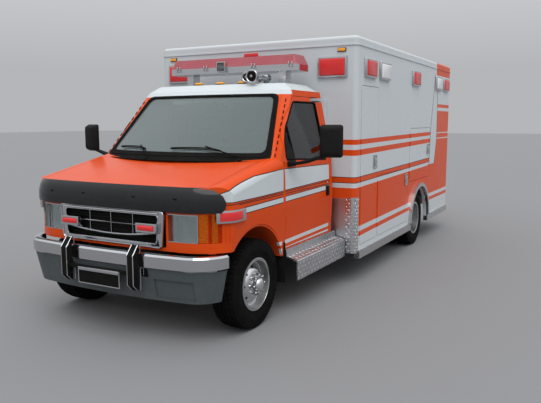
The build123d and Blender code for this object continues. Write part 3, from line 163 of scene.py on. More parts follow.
def modified(piece: Piece, kind: str, **settings: object) -> Piece:
    """Adds a modifier to a piece and applies it.

    Args:
        piece: a mesh object.
        kind: the modifier's type.
        settings: its properties.

    Returns:
        The same object.
    """
    pick(piece)
    bpy.ops.object.modifier_add(type=kind)
    modifier = piece.modifiers[-1]
    for key, value in settings.items():
        setattr(modifier, key, value)
    bpy.ops.object.modifier_apply(modifier=modifier.name)
    return piece


def settled(piece: Piece) -> Piece:
    """Applies a piece's place, merges its doubles and turns its faces outward.

    Args:
        piece: a mesh object.

    Returns:
        The same object, at the origin, unturned and unscaled.
    """
    pick(piece)
    bpy.ops.object.transform_apply(location=True, rotation=True, scale=True)
    with editing():
        bpy.ops.mesh.remove_doubles(threshold=1e-6)
        bpy.ops.mesh.delete_loose(use_verts=True, use_edges=True, use_faces=False)
        bpy.ops.mesh.select_all(action="SELECT")
        bpy.ops.mesh.normals_make_consistent(inside=False)
    return piece


def bevelled(piece: Piece, width: float, segments: int = 2, angle: float = 30) -> Piece:
    """Rounds a piece's sharp edges.

    Args:
        piece: a mesh object.
        width: how far each edge is cut back.
        segments: steps across each rounded edge.
        angle: edges that bend by less than this, in degrees, are left.

    Returns:
        The same object.
    """
    return modified(piece, "BEVEL", width=width, segments=segments, angle_limit=radians(angle),
                    limit_method="ANGLE")


def slab(low: Point, high: Point, bevel: float = 0.003, segments: int = 2) -> Piece:
    """Block between two corners, with rounded edges.

    Args:
        low, high: X, station and height of two opposite corners.
        bevel: width of the rounded edges.
        segments: steps across them.

    Returns:
        The new object.
    """
    clear_selection()
    middle = [(a + b) / 2 for a, b in zip(low, high)]
    bpy.ops.mesh.primitive_cube_add(size=1, location=spot(middle),
                                    scale=[abs(b - a) for a, b in zip(low, high)])
    piece = bpy.context.object
    bpy.ops.object.transform_apply(location=True, rotation=True, scale=True)
    return bevelled(piece, bevel, segments) if bevel else piece


def slabs(rows: Iterable[tuple[Point, Point]], bevel: float = 0.003, segments: int = 2) -> list[Piece]:
    """Blocks between pairs of corners, all with the same rounded edges."""
    return [slab(low, high, bevel, segments) for low, high in rows]


def ring(points: Sequence[Point], filled: bool) -> Piece:
    """Closed loop of edges through given points.

    Args:
        points: places in the row's frame.
        filled: whether one face spans the loop.

    Returns:
        The new object.
    """
    clear_selection()
    bpy.ops.mesh.primitive_circle_add(vertices=len(points), fill_type="NGON" if filled else "NOTHING")
    piece = bpy.context.object
    for vertex, point in zip(piece.data.vertices, points):
        vertex.co = point
    return piece


def prism(points: Sequence[Point], push: Point, bevel: float = 0.0, segments: int = 2) -> Piece:
    """Solid made by pushing a flat outline along a vector.

    Args:
        points: the outline, as X, station and height.
        push: the way and the distance that it is pushed.
        bevel: width of its rounded edges.
        segments: steps across them.

    Returns:
        The new object.
    """
    piece = ring([spot(point) for point in points], filled=True)
    with editing():
        bpy.ops.mesh.extrude_region_move(TRANSFORM_OT_translate={"value": push})
        bpy.ops.mesh.select_all(action="SELECT")
        bpy.ops.mesh.normals_make_consistent(inside=False)
    return bevelled(piece, bevel, segments) if bevel else piece


def turned(section: Sequence[Flat], centre: Point, axis: Point = (1, 0, 0), steps: int = 32) -> Piece:
    """Solid spun from a closed section.

    Args:
        section: corners as distance along the axis and radius.
        centre: X, station and height of the section's zero.
        axis: direction of the axis, across the vehicle unless given.
        steps: faces round the turn.

    Returns:
        The new object.
    """
    along = Vector(axis).normalized()
    out = along.cross(Vector((0, 0, 1)) if abs(along.z) < 0.9 else Vector((0, 1, 0))).normalized()
    origin = spot(centre)
    piece = ring([origin + along * a + out * r for a, r in section], filled=False)
    with editing():
        bpy.ops.mesh.spin(steps=steps, angle=2 * pi, center=origin, axis=along)
    return settled(piece)


def tube(points: Sequence[Point], radius: float, cyclic: bool = False, smooth: bool = True) -> Piece:
    """Round bar along a path.

    Args:
        points: the path, as X, station and height.
        radius: half the bar's diameter.
        cyclic: whether the path closes on itself.
        smooth: whether the path bends in curves.

    Returns:
        The new mesh object.
    """
    clear_selection()
    curve = bpy.data.curves.new("bar", "CURVE")
    curve.dimensions, curve.bevel_depth, curve.bevel_resolution = "3D", radius, 3
    curve.use_fill_caps = True
    spline = curve.splines.new("NURBS" if smooth else "POLY")
    spline.points.add(len(points) - 1)
    for knot, point in zip(spline.points, points):
        knot.co = (*spot(point), 1)
    spline.use_cyclic_u = cyclic
    if smooth:
        spline.order_u, spline.use_endpoint_u, spline.resolution_u = 3, not cyclic, 6
    piece = bpy.data.objects.new("bar", curve)
    bpy.context.collection.objects.link(piece)
    pick(piece)
    bpy.ops.object.convert(target="MESH")
    return settled(bpy.context.object)


def joined(pieces: Sequence[Piece]) -> Piece:
    """Several meshes made into one.

    Args:
        pieces: the meshes.

    Returns:
        The first of them, holding all.
    """
    pick(*pieces)
    if len(pieces) > 1:
        bpy.ops.object.join()
    return bpy.context.view_layer.objects.active


def copied(piece: Piece, move: Point = (0, 0, 0)) -> Piece:
    """Copy of a piece with a mesh of its own.

    Args:
        piece: what is copied.
        move: how far the copy is moved.

    Returns:
        The copy.
    """
    twin = piece.copy()
    twin.data = piece.data.copy()
    bpy.context.collection.objects.link(twin)
    twin.data.transform(Matrix.Translation(move))
    return twin


def revolved(piece: Piece, angle: float, centre: Point, axis: Point) -> Piece:
    """Turns a piece's mesh about an axis.

    Args:
        piece: what is turned.
        angle: in radians.
        centre: X, station and height of a point on the axis.
        axis: its direction.

    Returns:
        The same object.
    """
    origin = Matrix.Translation(spot(centre))
    piece.data.transform(origin @ Matrix.Rotation(angle, 4, Vector(axis)) @ origin.inverted())
    return piece


def opposite(piece: Piece) -> Piece:
    """Mirror image of a piece.

    Args:
        piece: what is mirrored.

    Returns:
        The copy, on the vehicle's other side.
    """
    twin = copied(piece)
    twin.data.transform(Matrix.Scale(-1, 4, (1, 0, 0)))
    return settled(twin)


def both(piece: Piece) -> Piece:
    """A piece and its mirror image, in one mesh."""
    return joined([piece, opposite(piece)])


def node_copy(node: str) -> Piece:
    """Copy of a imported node's mesh, its loose triangles merged.

    Args:
        node: name of the node.

    Returns:
        The copy, free of the node's body.
    """
    twin = copied(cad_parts[node])
    twin.parent = None
    twin.matrix_world = Matrix.Identity(4)
    twin.data.materials.clear()
    for key in list(twin.keys()):
        del twin[key]
    pick(twin)
    bpy.ops.mesh.customdata_custom_splitnormals_clear()
    with editing():
        bpy.ops.mesh.remove_doubles(threshold=MERGE)
        bpy.ops.mesh.normals_make_consistent(inside=False)
    return twin


def rounded(corners: Sequence[Flat], radius: float) -> list[Flat]:
    """Rounds the corners of a flat outline.

    Args:
        corners: the outline.
        radius: how far each corner is cut back.

    Returns:
        The denser outline.
    """
    made = []
    count = len(corners)
    for index, corner in enumerate(corners):
        here = Vector(corner)
        before, after = Vector(corners[index - 1]) - here, Vector(corners[(index + 1) % count]) - here
        start = here + before.normalized() * min(radius, before.length * 0.45)
        end = here + after.normalized() * min(radius, after.length * 0.45)
        for step in range(CORNER_STEPS + 1):
            share = step / CORNER_STEPS
            point = start * (1 - share) ** 2 + here * 2 * share * (1 - share) + end * share ** 2
            made.append((point.x, point.y))
    return made


def frame_line(corners: Sequence[Flat], radius: float, parts: int) -> list[Flat]:
    """Outline with rounded corners whose straight runs are divided.

    Args:
        corners: the outline.
        radius: how far each corner is cut back.
        parts: pieces of each straight run.

    Returns:
        The outline, with as many points for as many corners.
    """
    curve = rounded(corners, radius)
    made = []
    for index, point in enumerate(curve):
        made.append(point)
        if index % (CORNER_STEPS + 1) == CORNER_STEPS:
            here, after = Vector(point), Vector(curve[(index + 1) % len(curve)])
            made += [tuple(here.lerp(after, step / parts)) for step in range(1, parts)]
    return made


def ribbon(outer: Sequence[Point], inner: Sequence[Point], thickness: float) -> Piece:
    """Thin closed band between two loops of as many points.

    Args:
        outer, inner: the loops, as X, station and height.
        thickness: of the band.

    Returns:
        The new object.
    """
    piece = joined([ring([spot(point) for point in loop], filled=False) for loop in (outer, inner)])
    with editing():
        bpy.ops.mesh.bridge_edge_loops()
    return settled(modified(piece, "SOLIDIFY", thickness=thickness, offset=0.0))


def grid(rows: Sequence[Sequence[Point]]) -> Piece:
    """Open sheet through rows of points.

    Args:
        rows: as many points in each, as X, station and height.

    Returns:
        The new object.
    """
    clear_selection()
    count = len(rows[0])
    bpy.ops.mesh.primitive_grid_add(x_subdivisions=count - 1, y_subdivisions=len(rows) - 1)
    piece = bpy.context.object
    for index, vertex in enumerate(piece.data.vertices):
        vertex.co = spot(rows[index // count][index % count])
    return piece


def node_box(node: str) -> tuple[Vector, Vector]:
    """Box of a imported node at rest.

    Args:
        node: name of the node.

    Returns:
        Its lowest and its highest corner.
    """
    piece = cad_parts[node]
    corners = [piece.matrix_world @ vertex.co for vertex in piece.data.vertices]
    return tuple(Vector([end(corner[axis] for corner in corners) for axis in range(3)]) for end in (min, max))


def stuffed(piece: Piece, voxel: float, cap: float, pressure: float = 4.0) -> Piece:
    """Lets a closed piece swell like a filled cushion.

    Args:
        piece: the plain form, a little small.
        voxel: size of the faces that it is first given.
        cap: how far a point may move.
        pressure: of the filling.

    Returns:
        The same object, swollen.
    """
    settled(modified(piece, "REMESH", mode="VOXEL", voxel_size=voxel))
    rest = [vertex.co.copy() for vertex in piece.data.vertices]
    pick(piece)
    bpy.ops.object.modifier_add(type="CLOTH")
    cloth = piece.modifiers[-1]
    cloth.settings.use_pressure = True
    cloth.settings.uniform_pressure_force = pressure
    cloth.settings.effector_weights.gravity = 0
    for moment in range(1, SWELL_FRAMES + 1):
        bpy.context.scene.frame_set(moment)
    bpy.ops.object.modifier_apply(modifier=cloth.name)
    bpy.context.scene.frame_set(1)
    for vertex, start in zip(piece.data.vertices, rest):
        move = vertex.co - start
        if move.length > cap:
            vertex.co = start + move.normalized() * cap
    return settled(modified(piece, "SUBSURF", levels=1))


def chosen(piece: Piece, facing: Point, least: float = 0.9) -> None:
    """Enters edit mode with only the faces that look one way selected.

    Args:
        piece: the mesh.
        facing: the way that they look.
        least: how nearly, from 0 to 1.
    """
    pick(piece)
    bpy.ops.object.mode_set(mode="EDIT")
    bpy.ops.mesh.select_all(action="DESELECT")
    bpy.ops.mesh.select_mode(type="FACE")
    bpy.ops.object.mode_set(mode="OBJECT")
    way = Vector(facing).normalized()
    for face in piece.data.polygons:
        face.select = face.normal.dot(way) > least
    bpy.ops.object.mode_set(mode="EDIT")


def around(piece: Piece, count: int, centre: Point, axis: Point = (1, 0, 0)) -> Piece:
    """Repeats a piece's mesh round an axis.

    Args:
        piece: what is repeated.
        count: how many there are in the whole turn.
        centre: X, station and height of a point on the axis.
        axis: its direction, across the vehicle unless given.

    Returns:
        The same object, holding them all.
    """
    pick(piece)
    with editing():
        bpy.ops.mesh.spin(steps=count, dupli=True, angle=2 * pi, center=spot(centre), axis=axis)
        bpy.ops.mesh.select_all(action="SELECT")
        bpy.ops.mesh.remove_doubles(threshold=MERGE)
    return piece


def cut_by(piece: Piece, cutter: Piece) -> Piece:
    """Takes a cutter's shape out of a piece.

    Args:
        piece: what is cut.
        cutter: the shape, which is used up.

    Returns:
        The piece.
    """
    modified(piece, "BOOLEAN", operation="DIFFERENCE", object=cutter, solver="EXACT")
    bpy.data.objects.remove(cutter)
    return piece


def pressed(piece: Piece, rim: float, depth: float, bevel: float = 0.003, narrow: Flat = (1, 1)) -> Piece:
    """Sinks a pocket into a block's front and rounds its edges.

    Args:
        piece: the block.
        rim: width that is left round the pocket.
        depth: how deep it is.
        bevel: width of the rounded edges.
        narrow: how the front is scaled first, across and upwards.

    Returns:
        The same object.
    """
    chosen(piece, (0, -1, 0))
    bpy.ops.transform.resize(value=(narrow[0], 1, narrow[1]))
    bpy.ops.mesh.inset(thickness=rim)
    bpy.ops.mesh.extrude_region_move(TRANSFORM_OT_translate={"value": (0, depth, 0)})
    bpy.ops.object.mode_set(mode="OBJECT")
    return bevelled(piece, bevel)


def arc_station(x: float, points: Sequence[Flat]) -> float:
    """Station of a plan arc through three points, at a distance from the middle.

    Args:
        x: distance from the middle.
        points: three points as X and station.

    Returns:
        The station on the arc's front.
    """
    (ax, ay), (bx, by), (cx, cy) = points
    span = 2 * (ax * (by - cy) + bx * (cy - ay) + cx * (ay - by))
    a, b, c = (px * px + py * py for px, py in points)
    ux = (a * (by - cy) + b * (cy - ay) + c * (ay - by)) / span
    uy = (a * (cx - bx) + b * (ax - cx) + c * (bx - ax)) / span
    reach = (ax - ux) ** 2 + (ay - uy) ** 2
    return uy - sqrt(max(0.0, reach - (x - ux) ** 2))


def plan_station(x: float, plan: Sequence[Flat]) -> float:
    """Station of a front face at a distance from the middle.

    Args:
        x: distance from the middle.
        plan: the face's four points.

    Returns:
        The station.
    """
    x = abs(x)
    middle, bend, side, end = plan
    if x < bend[0]:
        return arc_station(x, ((-bend[0], bend[1]), middle, bend))
    return arc_station(min(x, end[0]), (bend, side, end))


def nose_station(x: float) -> float:
    """Station of the nose's face at a distance from the middle."""
    return plan_station(x, NOSE_PLAN)


def nose_way(x: float) -> Vector:
    """Direction in which the nose's face looks.

    Args:
        x: distance from the middle.

    Returns:
        The direction in plan, as X and station.
    """
    step = 0.002 if abs(x) < 0.99 else -0.006
    slope = (nose_station(abs(x) + step) - nose_station(abs(x))) / step
    out = Vector((slope, -1.0)).normalized()
    return Vector((out.x if x >= 0 else -out.x, out.y))


def nose_strip(xs: Sequence[float], low: float, high: float, outer: float, inner: float,
               bevel: float = 0.0) -> Piece:
    """Curved plate that follows the nose.

    Args:
        xs: distances from the middle at which it bends.
        low, high: its lower and upper edge.
        outer, inner: how far its two faces stand out from the nose.
        bevel: width of its rounded edges.

    Returns:
        The new object.
    """
    plan = []
    for reach, order in ((outer, xs), (inner, tuple(reversed(xs)))):
        for x in order:
            way = nose_way(x)
            plan.append((x + way.x * reach, nose_station(x) + way.y * reach, low))
    return prism(plan, (0, 0, high - low), bevel, 2)


def side_x(height: float) -> float:
    """Distance of the cab's side from the middle.

    Args:
        height: above or below the belt.

    Returns:
        X on the left side.
    """
    if height > BELT:
        return BELT_HALF + (ROOF_HALF - BELT_HALF) * (height - BELT) / GLASS_RISE
    if height > WAIST:
        return BODY_HALF + (BELT_HALF - BODY_HALF) * (height - WAIST) / (BELT - WAIST)
    return BODY_HALF - SILL_TUCK * (WAIST - height) / SILL_DROP


def screen_station(x: float, height: float) -> float:
    """Station of the windshield's face.

    Args:
        x, height: a place on it.

    Returns:
        The station.
    """
    share = (height - BELT) / GLASS_RISE
    corner_x, corner_s = 0.950 - 0.175 * share, 0.335 + 0.525 * share
    return arc_station(x, ((-corner_x, corner_s), (0, 0.090 + 0.710 * share), (corner_x, corner_s)))


def on_wall(piece: Piece, wall: Wall, along: float, height: float) -> Piece:
    """Moves a piece modelled about station 0, facing forward, onto a wall of the box.

    Args:
        piece: the piece.
        wall: the wall.
        along: station on a side wall, X on the front or the rear.
        height: its height.

    Returns:
        The same object.
    """
    x = {Wall.LEFT: MODULE_HALF, Wall.RIGHT: -MODULE_HALF}.get(wall, along)
    station = {Wall.FRONT: MODULE_FRONT, Wall.REAR: MODULE_REAR}.get(wall, along)
    piece.data.transform(Matrix.Translation(spot((x, station, height))) @ Matrix.Rotation(wall.value, 4, "Z")
                         @ Matrix.Translation((0, -FRONT_AXLE_Y, 0)))
    return piece


# Materials

class Field:
    """A number that varies over a surface, carried by a node's socket."""

    def __init__(self, recipe: "Recipe", socket: bpy.types.NodeSocket) -> None:
        """Keeps the material under construction and the socket."""
        self.recipe, self.socket = recipe, socket

    def math(self, operation: str, *others: "Field | float", swap: bool = False) -> "Field":
        """One step of arithmetic.

        Args:
            operation: the name of Blender's operation.
            others: the other operands.
            swap: whether this number is the second operand.

        Returns:
            The result.
        """
        terms = [self, *others]
        if swap:
            terms[0], terms[1] = terms[1], terms[0]
        made = self.recipe.node("ShaderNodeMath", *terms, operation=operation)
        return Field(self.recipe, made.outputs[0])

    def __add__(self, other: "Field | float") -> "Field":
        """Sum."""
        return self.math("ADD", other)

    def __sub__(self, other: "Field | float") -> "Field":
        """Difference."""
        return self.math("SUBTRACT", other)

    def __rsub__(self, other: "Field | float") -> "Field":
        """Difference from a plain number."""
        return self.math("SUBTRACT", other, swap=True)

    def __mul__(self, other: "Field | float") -> "Field":
        """Product, which is also both of two masks."""
        return self.math("MULTIPLY", other)

    def __gt__(self, other: "Field | float") -> "Field":
        """1 where this number is the greater, else 0."""
        return self.math("GREATER_THAN", other)

    def __lt__(self, other: "Field | float") -> "Field":
        """1 where this number is the smaller, else 0."""
        return self.math("LESS_THAN", other)

    def __or__(self, other: "Field | float") -> "Field":
        """The greater of two masks."""
        return self.math("MAXIMUM", other)

    def __abs__(self) -> "Field":
        """Size without the sign."""
        return self.math("ABSOLUTE")

    def between(self, low: "Field | float", high: "Field | float") -> "Field":
        """1 between two limits, else 0."""
        return (self > low) * (self < high)

    def ramp(self, low: float, high: float, first: float = 0.0, last: float = 1.0) -> "Field":
        """Spreads a range of this number over another, and holds it at the ends.

        Args:
            low, high: the range that is read.
            first, last: what its ends become.

        Returns:
            The spread number.
        """
        made = self.recipe.node("ShaderNodeMapRange", self, low, high, first, last)
        return Field(self.recipe, made.outputs[0])


class Recipe:
    """One material under construction."""

    def __init__(self, name: str) -> None:
        """Starts a material with one shader and its place on the object.

        Args:
            name: the material's name.
        """
        self.material = bpy.data.materials.new(name)
        self.material.use_nodes = True
        self.tree = self.material.node_tree
        self.shader = self.tree.nodes["Principled BSDF"]
        self.place = self.node("ShaderNodeTexCoord").outputs["Object"]
        split = self.node("ShaderNodeSeparateXYZ", Field(self, self.place))
        self.x, self.y, self.z = (Field(self, one) for one in split.outputs)
        self.station = self.y - FRONT_AXLE_Y

    def node(self, kind: str, *values: object, **settings: object) -> bpy.types.Node:
        """Adds a node.

        Args:
            kind: its Blender type.
            values: fields or plain values for its first sockets, None to skip one.
            settings: its properties.

        Returns:
            The node.
        """
        made = self.tree.nodes.new(kind)
        for key, value in settings.items():
            setattr(made, key, value)
        for socket, value in zip(made.inputs, values):
            self.feed(socket, value)
        return made

    def feed(self, socket: bpy.types.NodeSocket, value: object) -> None:
        """Links or sets a socket.

        Args:
            socket: the socket.
            value: a field, another socket or a plain value, None to leave it.
        """
        if isinstance(value, Field):
            self.tree.links.new(value.socket, socket)
        elif isinstance(value, bpy.types.NodeSocket):
            self.tree.links.new(value, socket)
        elif isinstance(value, tuple) and len(value) == 3 and socket.type == "RGBA":
            socket.default_value = (*value, 1)
        elif value is not None:
            socket.default_value = value

    def noise(self, scale: float, detail: float = 3.0, stretch: Point = (1, 1, 1)) -> Field:
        """Soft cloudy pattern.

        Args:
            scale: patches per metre.
            detail: how many finer layers it has.
            stretch: how each axis is scaled first.

        Returns:
            The pattern, around 0.5.
        """
        spread = self.node("ShaderNodeMapping", self.place)
        spread.inputs["Scale"].default_value = stretch
        made = self.node("ShaderNodeTexNoise")
        self.tree.links.new(spread.outputs[0], made.inputs["Vector"])
        made.inputs["Scale"].default_value = scale
        made.inputs["Detail"].default_value = detail
        return Field(self, made.outputs[0])

    def mix(self, share: "Field | float", first: object, second: object) -> bpy.types.NodeSocket:
        """Blend of two colours.

        Args:
            share: how much of the second.
            first, second: colours or colour sockets.

        Returns:
            The colour's socket.
        """
        made = self.node("ShaderNodeMix", share, data_type="RGBA")
        self.feed(made.inputs[6], first)
        self.feed(made.inputs[7], second)
        return made.outputs[2]

    def bump(self, height: Field, distance: float, strength: float = 1.0) -> None:
        """Relief over the surface.

        Args:
            height: the field that raises it.
            distance: its height in metres.
            strength: how strongly it shows.
        """
        made = self.node("ShaderNodeBump")
        made.inputs["Strength"].default_value = strength
        made.inputs["Distance"].default_value = distance
        self.feed(made.inputs["Height"], height)
        self.feed(self.shader.inputs["Normal"], made.outputs[0])

    def surface(self, **values: object) -> None:
        """Sets the shader's sockets, named with underscores for spaces."""
        for key, value in values.items():
            self.feed(self.shader.inputs[key.replace("_", " ")], value)

    def dusty(self, colour: object, reach: float = 0.9, most: float = 0.35) -> bpy.types.NodeSocket:
        """Road dust that thickens towards the ground.

        Args:
            colour: the clean colour.
            reach: height at which it ends.
            most: its share at the ground.

        Returns:
            The dusted colour's socket.
        """
        fall = self.z.ramp(0.1, reach, most, 0.02) * self.noise(7, 5).ramp(0.3, 0.7, 0.35, 1.0)
        return self.mix(fall, colour, DUST)


@dataclass(frozen=True)
class Finish:
    """Base of every finish: a name and a record slot."""

    name: str
    slot: str

    def build(self, recipe: Recipe) -> None:
        """Fills the material's nodes."""
        raise NotImplementedError

    def material(self) -> bpy.types.Material:
        """Builds the material once and then shares it.

        Returns:
            The material.
        """
        known = bpy.data.materials.get(self.name)
        if known is None:
            recipe = Recipe(self.name)
            self.build(recipe)
            known = recipe.material
        return known


@dataclass(frozen=True)
class Paint(Finish):
    """Gloss vehicle paint, a little faded, dusty low down."""

    colour: Colour = Tone.ORANGE.value
    gloss: float = 0.3

    def tint(self, recipe: Recipe) -> object:
        """Colour before dust, here the plain paint."""
        return self.colour

    def build(self, recipe: Recipe) -> None:
        """Paint under a clear coat.

        Args:
            recipe: its material.
        """
        patches = recipe.noise(1.3, 1).ramp(0.35, 0.75, 0.0, 0.03)
        faded = recipe.mix(patches, self.tint(recipe), (0.5, 0.42, 0.37))
        low = recipe.z.ramp(0.3, 0.8, 0.10, 0.0) * recipe.noise(2.5, 1)
        recipe.surface(Base_Color=recipe.mix(low, faded, DUST),
                       Roughness=recipe.noise(1.5, 1).ramp(0.3, 0.7, self.gloss, self.gloss + 0.08),
                       Specular_IOR_Level=0.08, Coat_Weight=0.07, Coat_Roughness=0.04)


@dataclass(frozen=True)
class Stripe:
    """A sloping band on a side: two lines, each given by two points."""

    low: tuple[float, float, float, float]
    high: tuple[float, float, float, float]
    span: Flat
    tone: Tone

    def mask(self, recipe: Recipe) -> Field:
        """Where the band shows.

        Args:
            recipe: its material.

        Returns:
            1 inside the band, else 0.
        """
        edges = []
        for s0, z0, s1, z1 in (self.low, self.high):
            slope = (z1 - z0) / (s1 - s0)
            edges.append(recipe.station * slope + (z0 - slope * s0))
        return recipe.z.between(*edges) * recipe.station.between(*self.span)


@dataclass(frozen=True)
class StripedPaint(Paint):
    """Paint that carries bands of other colours."""

    stripes: tuple[Stripe, ...] = ()

    def tint(self, recipe: Recipe) -> object:
        """The bands over the plain colour, the first lowest.

        Args:
            recipe: its material.

        Returns:
            The colour before dust.
        """
        colour: object = self.colour
        for stripe in self.stripes:
            colour = recipe.mix(stripe.mask(recipe), colour, stripe.tone.value)
        return colour


@dataclass(frozen=True)
class CabLivery(StripedPaint):
    """Orange cab paint with the white sweep that starts at the fender's tip."""

    tip: float = -0.525
    line: float = 0.007

    def tint(self, recipe: Recipe) -> object:
        """The straight bands, then the sweep with its dark outline.

        Args:
            recipe: its material.

        Returns:
            The colour before dust.
        """
        station, height = recipe.station, recipe.z
        rise = station.ramp(self.tip, -0.035).math("SQRT") * 0.155
        top = rise + station.ramp(-0.035, 0.37, 1.105, 1.129) - station.ramp(0.37, 1.40, 0.0, 0.019)
        low = station.ramp(self.tip, -0.40, 1.105, 1.096) + station.ramp(0.057, 1.535, 0.0, 0.023)
        skin = (abs(recipe.x) > 0.968) | (station < 0.36)
        side = (abs(recipe.x) > 0.88) * (station > self.tip) * skin
        colour = recipe.mix(skin, self.colour, super().tint(recipe))
        colour = recipe.mix(height.between(low - self.line, top + self.line) * side, colour, Tone.DARK.value)
        return recipe.mix(height.between(low, top) * side, colour, Tone.WHITE.value)


@dataclass(frozen=True)
class BoxLivery(StripedPaint):
    """White box paint with orange bands, a slanting white one and an orange rear, the same on both sides."""

    line: float = 0.010
    half: float = MODULE_HALF
    corner: float = 0.052
    depth: float = 0.012

    def tint(self, recipe: Recipe) -> object:
        """Bands up to the slanting one, the orange rear behind it and the orange roof corner.

        Args:
            recipe: its material.

        Returns:
            The colour before dust.
        """
        station, height = recipe.station, recipe.z
        front_edge = height.ramp(1.169, 1.58, 4.590, 4.616) + height.ramp(1.58, 2.244, 0.0, 0.165)
        rear_edge = height.ramp(1.07, 1.428, 4.876, 4.980) - height.ramp(1.428, 2.136, 0.0, 0.020)
        ahead, behind = station < front_edge, station > rear_edge
        colour = recipe.mix(ahead, self.colour, super().tint(recipe))
        rear_orange = height.between(0.647, 1.845) | height.between(1.894, 1.944)
        low_orange = height.between(0.647, 1.076)
        colour = recipe.mix(low_orange * (station > 4.5), colour, Tone.ORANGE.value)
        colour = recipe.mix(rear_orange * behind, colour, Tone.ORANGE.value)
        for pale in (1.52, 1.44):
            colour = recipe.mix(height.between(pale - 0.007, pale + 0.007) * behind, colour, Tone.WHITE.value)
        colour = recipe.mix(height.between(0.546, 0.596) * (station > 4.5), colour, Tone.ORANGE.value)
        edges = (abs(station - front_edge) < self.line) | (abs(station - rear_edge) < self.line)
        colour = recipe.mix(edges * height.between(1.076, 2.36), colour, Tone.DARK.value)
        colour = recipe.mix((height > 2.36) * (station > 4.87), colour, Tone.ORANGE.value)
        return recipe.mix(self.skin(recipe), self.colour, colour)

    def skin(self, recipe: Recipe) -> Field:
        """Tells outer faces, with their rounded corners, from inner ones.

        Args:
            recipe: its material.

        Returns:
            1 on the outer faces and 0 on the inner ones.
        """
        across = abs(recipe.x) - (self.half - self.corner)
        ahead = MODULE_FRONT + self.corner - recipe.station
        behind = recipe.station - (MODULE_REAR - self.corner)
        across, along = across.math("MAXIMUM", 0.0), ahead.math("MAXIMUM", behind).math("MAXIMUM", 0.0)
        reach = (across * across + along * along).math("SQRT")
        return (reach > self.corner - self.depth) | (recipe.z > 2.5)


@dataclass(frozen=True)
class Metal(Finish):
    """Bare or plated metal."""

    colour: Colour = (0.62, 0.63, 0.65)
    rough: float = 0.08
    grain: float = 0.0

    def build(self, recipe: Recipe) -> None:
        """Metal with smears, and a brushed grain where it has one.

        Args:
            recipe: its material.
        """
        smear = recipe.noise(14, 5).ramp(0.35, 0.75, self.rough, self.rough + 0.12)
        colour = recipe.dusty(self.colour, reach=0.7, most=0.3)
        recipe.surface(Base_Color=colour, Metallic=1.0, Roughness=smear)
        if self.grain:
            recipe.bump(recipe.noise(220, 3, (1, 0.06, 1)), self.grain, 0.4)


@dataclass(frozen=True)
class Plastic(Finish):
    """Moulded plastic or rubber with a fine grain."""

    colour: Colour = (0.008, 0.008, 0.009)
    rough: float = 0.5
    grain: float = 0.0002
    dust: float = 0.04
    shine: float = 0.08

    def build(self, recipe: Recipe) -> None:
        """Dull plastic, paler where it is scuffed.

        Args:
            recipe: its material.
        """
        scuff = recipe.noise(23, 6).ramp(0.45, 0.8, 0.0, 0.5)
        worn = recipe.mix(scuff, self.colour, tuple(1.3 * c + 0.004 for c in self.colour))
        recipe.surface(Base_Color=recipe.dusty(worn, most=self.dust),
                       Roughness=recipe.noise(31, 3).ramp(0.3, 0.7, self.rough, min(1.0, self.rough + 0.15)),
                       Specular_IOR_Level=self.shine)
        recipe.bump(recipe.noise(900, 2), self.grain, 0.5)


@dataclass(frozen=True)
class Lens(Finish):
    """Moulded lamp lens with fine ribs."""

    colour: Colour = (0.75, 0.03, 0.03)
    clear: float = 0.4
    pitch: float = 0.012
    depth: float = 0.0012

    def build(self, recipe: Recipe) -> None:
        """Half-clear coloured plastic, ribbed both ways.

        Args:
            recipe: its material.
        """
        turns = 2 * pi / self.pitch
        ribs = (recipe.z * turns).math("SINE") + ((recipe.x + recipe.y) * turns).math("SINE")
        faded = recipe.mix(recipe.noise(6, 3).ramp(0.4, 0.8, 0.0, 0.05), self.colour, (0.8, 0.78, 0.75))
        recipe.surface(Base_Color=faded, Roughness=0.12, IOR=1.49, Transmission_Weight=self.clear,
                       Specular_IOR_Level=0.2, Coat_Weight=0.08, Coat_Roughness=0.04)
        recipe.bump(ribs, self.depth, 0.5)


@dataclass(frozen=True)
class Glazing(Finish):
    """Tinted safety glass."""

    colour: Colour = (0.20, 0.25, 0.25)
    rough: float = 0.0
    clear: float = 1.0
    index: float = 1.45

    def build(self, recipe: Recipe) -> None:
        """Tinted glass with faint smears; a share that is not clear shows its tint as a pale sheet, a painted
        reflection.

        Args:
            recipe: its material.
        """
        smears = recipe.noise(5, 3).ramp(0.4, 0.8, 0.0, 0.12)
        pale = tuple(min(1.0, c * 1.25) for c in self.colour)
        recipe.surface(Base_Color=recipe.mix(smears, self.colour, pale), Roughness=self.rough, IOR=self.index,
                       Transmission_Weight=self.clear)


@dataclass(frozen=True)
class TreadPlate(Finish):
    """Bright aluminium plate; its raised pattern is modelled."""

    colour: Colour = (0.60, 0.61, 0.63)

    def build(self, recipe: Recipe) -> None:
        """Aluminium with scratches and random dull patches of dirt.

        Args:
            recipe: its material.
        """
        scratch = recipe.noise(60, 6, (1, 0.2, 1)).ramp(0.4, 0.7, 0.24, 0.40)
        dull = recipe.mix(recipe.noise(12, 4).ramp(0.4, 0.8, 0, 0.3), self.colour, (0.36, 0.36, 0.37))
        recipe.surface(Base_Color=recipe.dusty(dull, reach=0.8, most=0.3), Metallic=1.0, Roughness=scratch)
        recipe.bump(recipe.noise(150, 4), 0.0004, 0.4)


@dataclass(frozen=True)
class Rubber(Finish):
    """Tyre rubber with dusty sidewalls."""

    colour: Colour = (0.005, 0.005, 0.005)

    def build(self, recipe: Recipe) -> None:
        """Black rubber with brown-grey road dust.

        Args:
            recipe: its material.
        """
        dirt = recipe.noise(18, 5).ramp(0.35, 0.75, 0.05, 0.5)
        recipe.surface(Base_Color=recipe.mix(dirt, self.colour, (0.016, 0.015, 0.014)), Roughness=0.75,
                       Specular_IOR_Level=0.04)
        recipe.bump(recipe.noise(300, 3), 0.0004, 0.5)


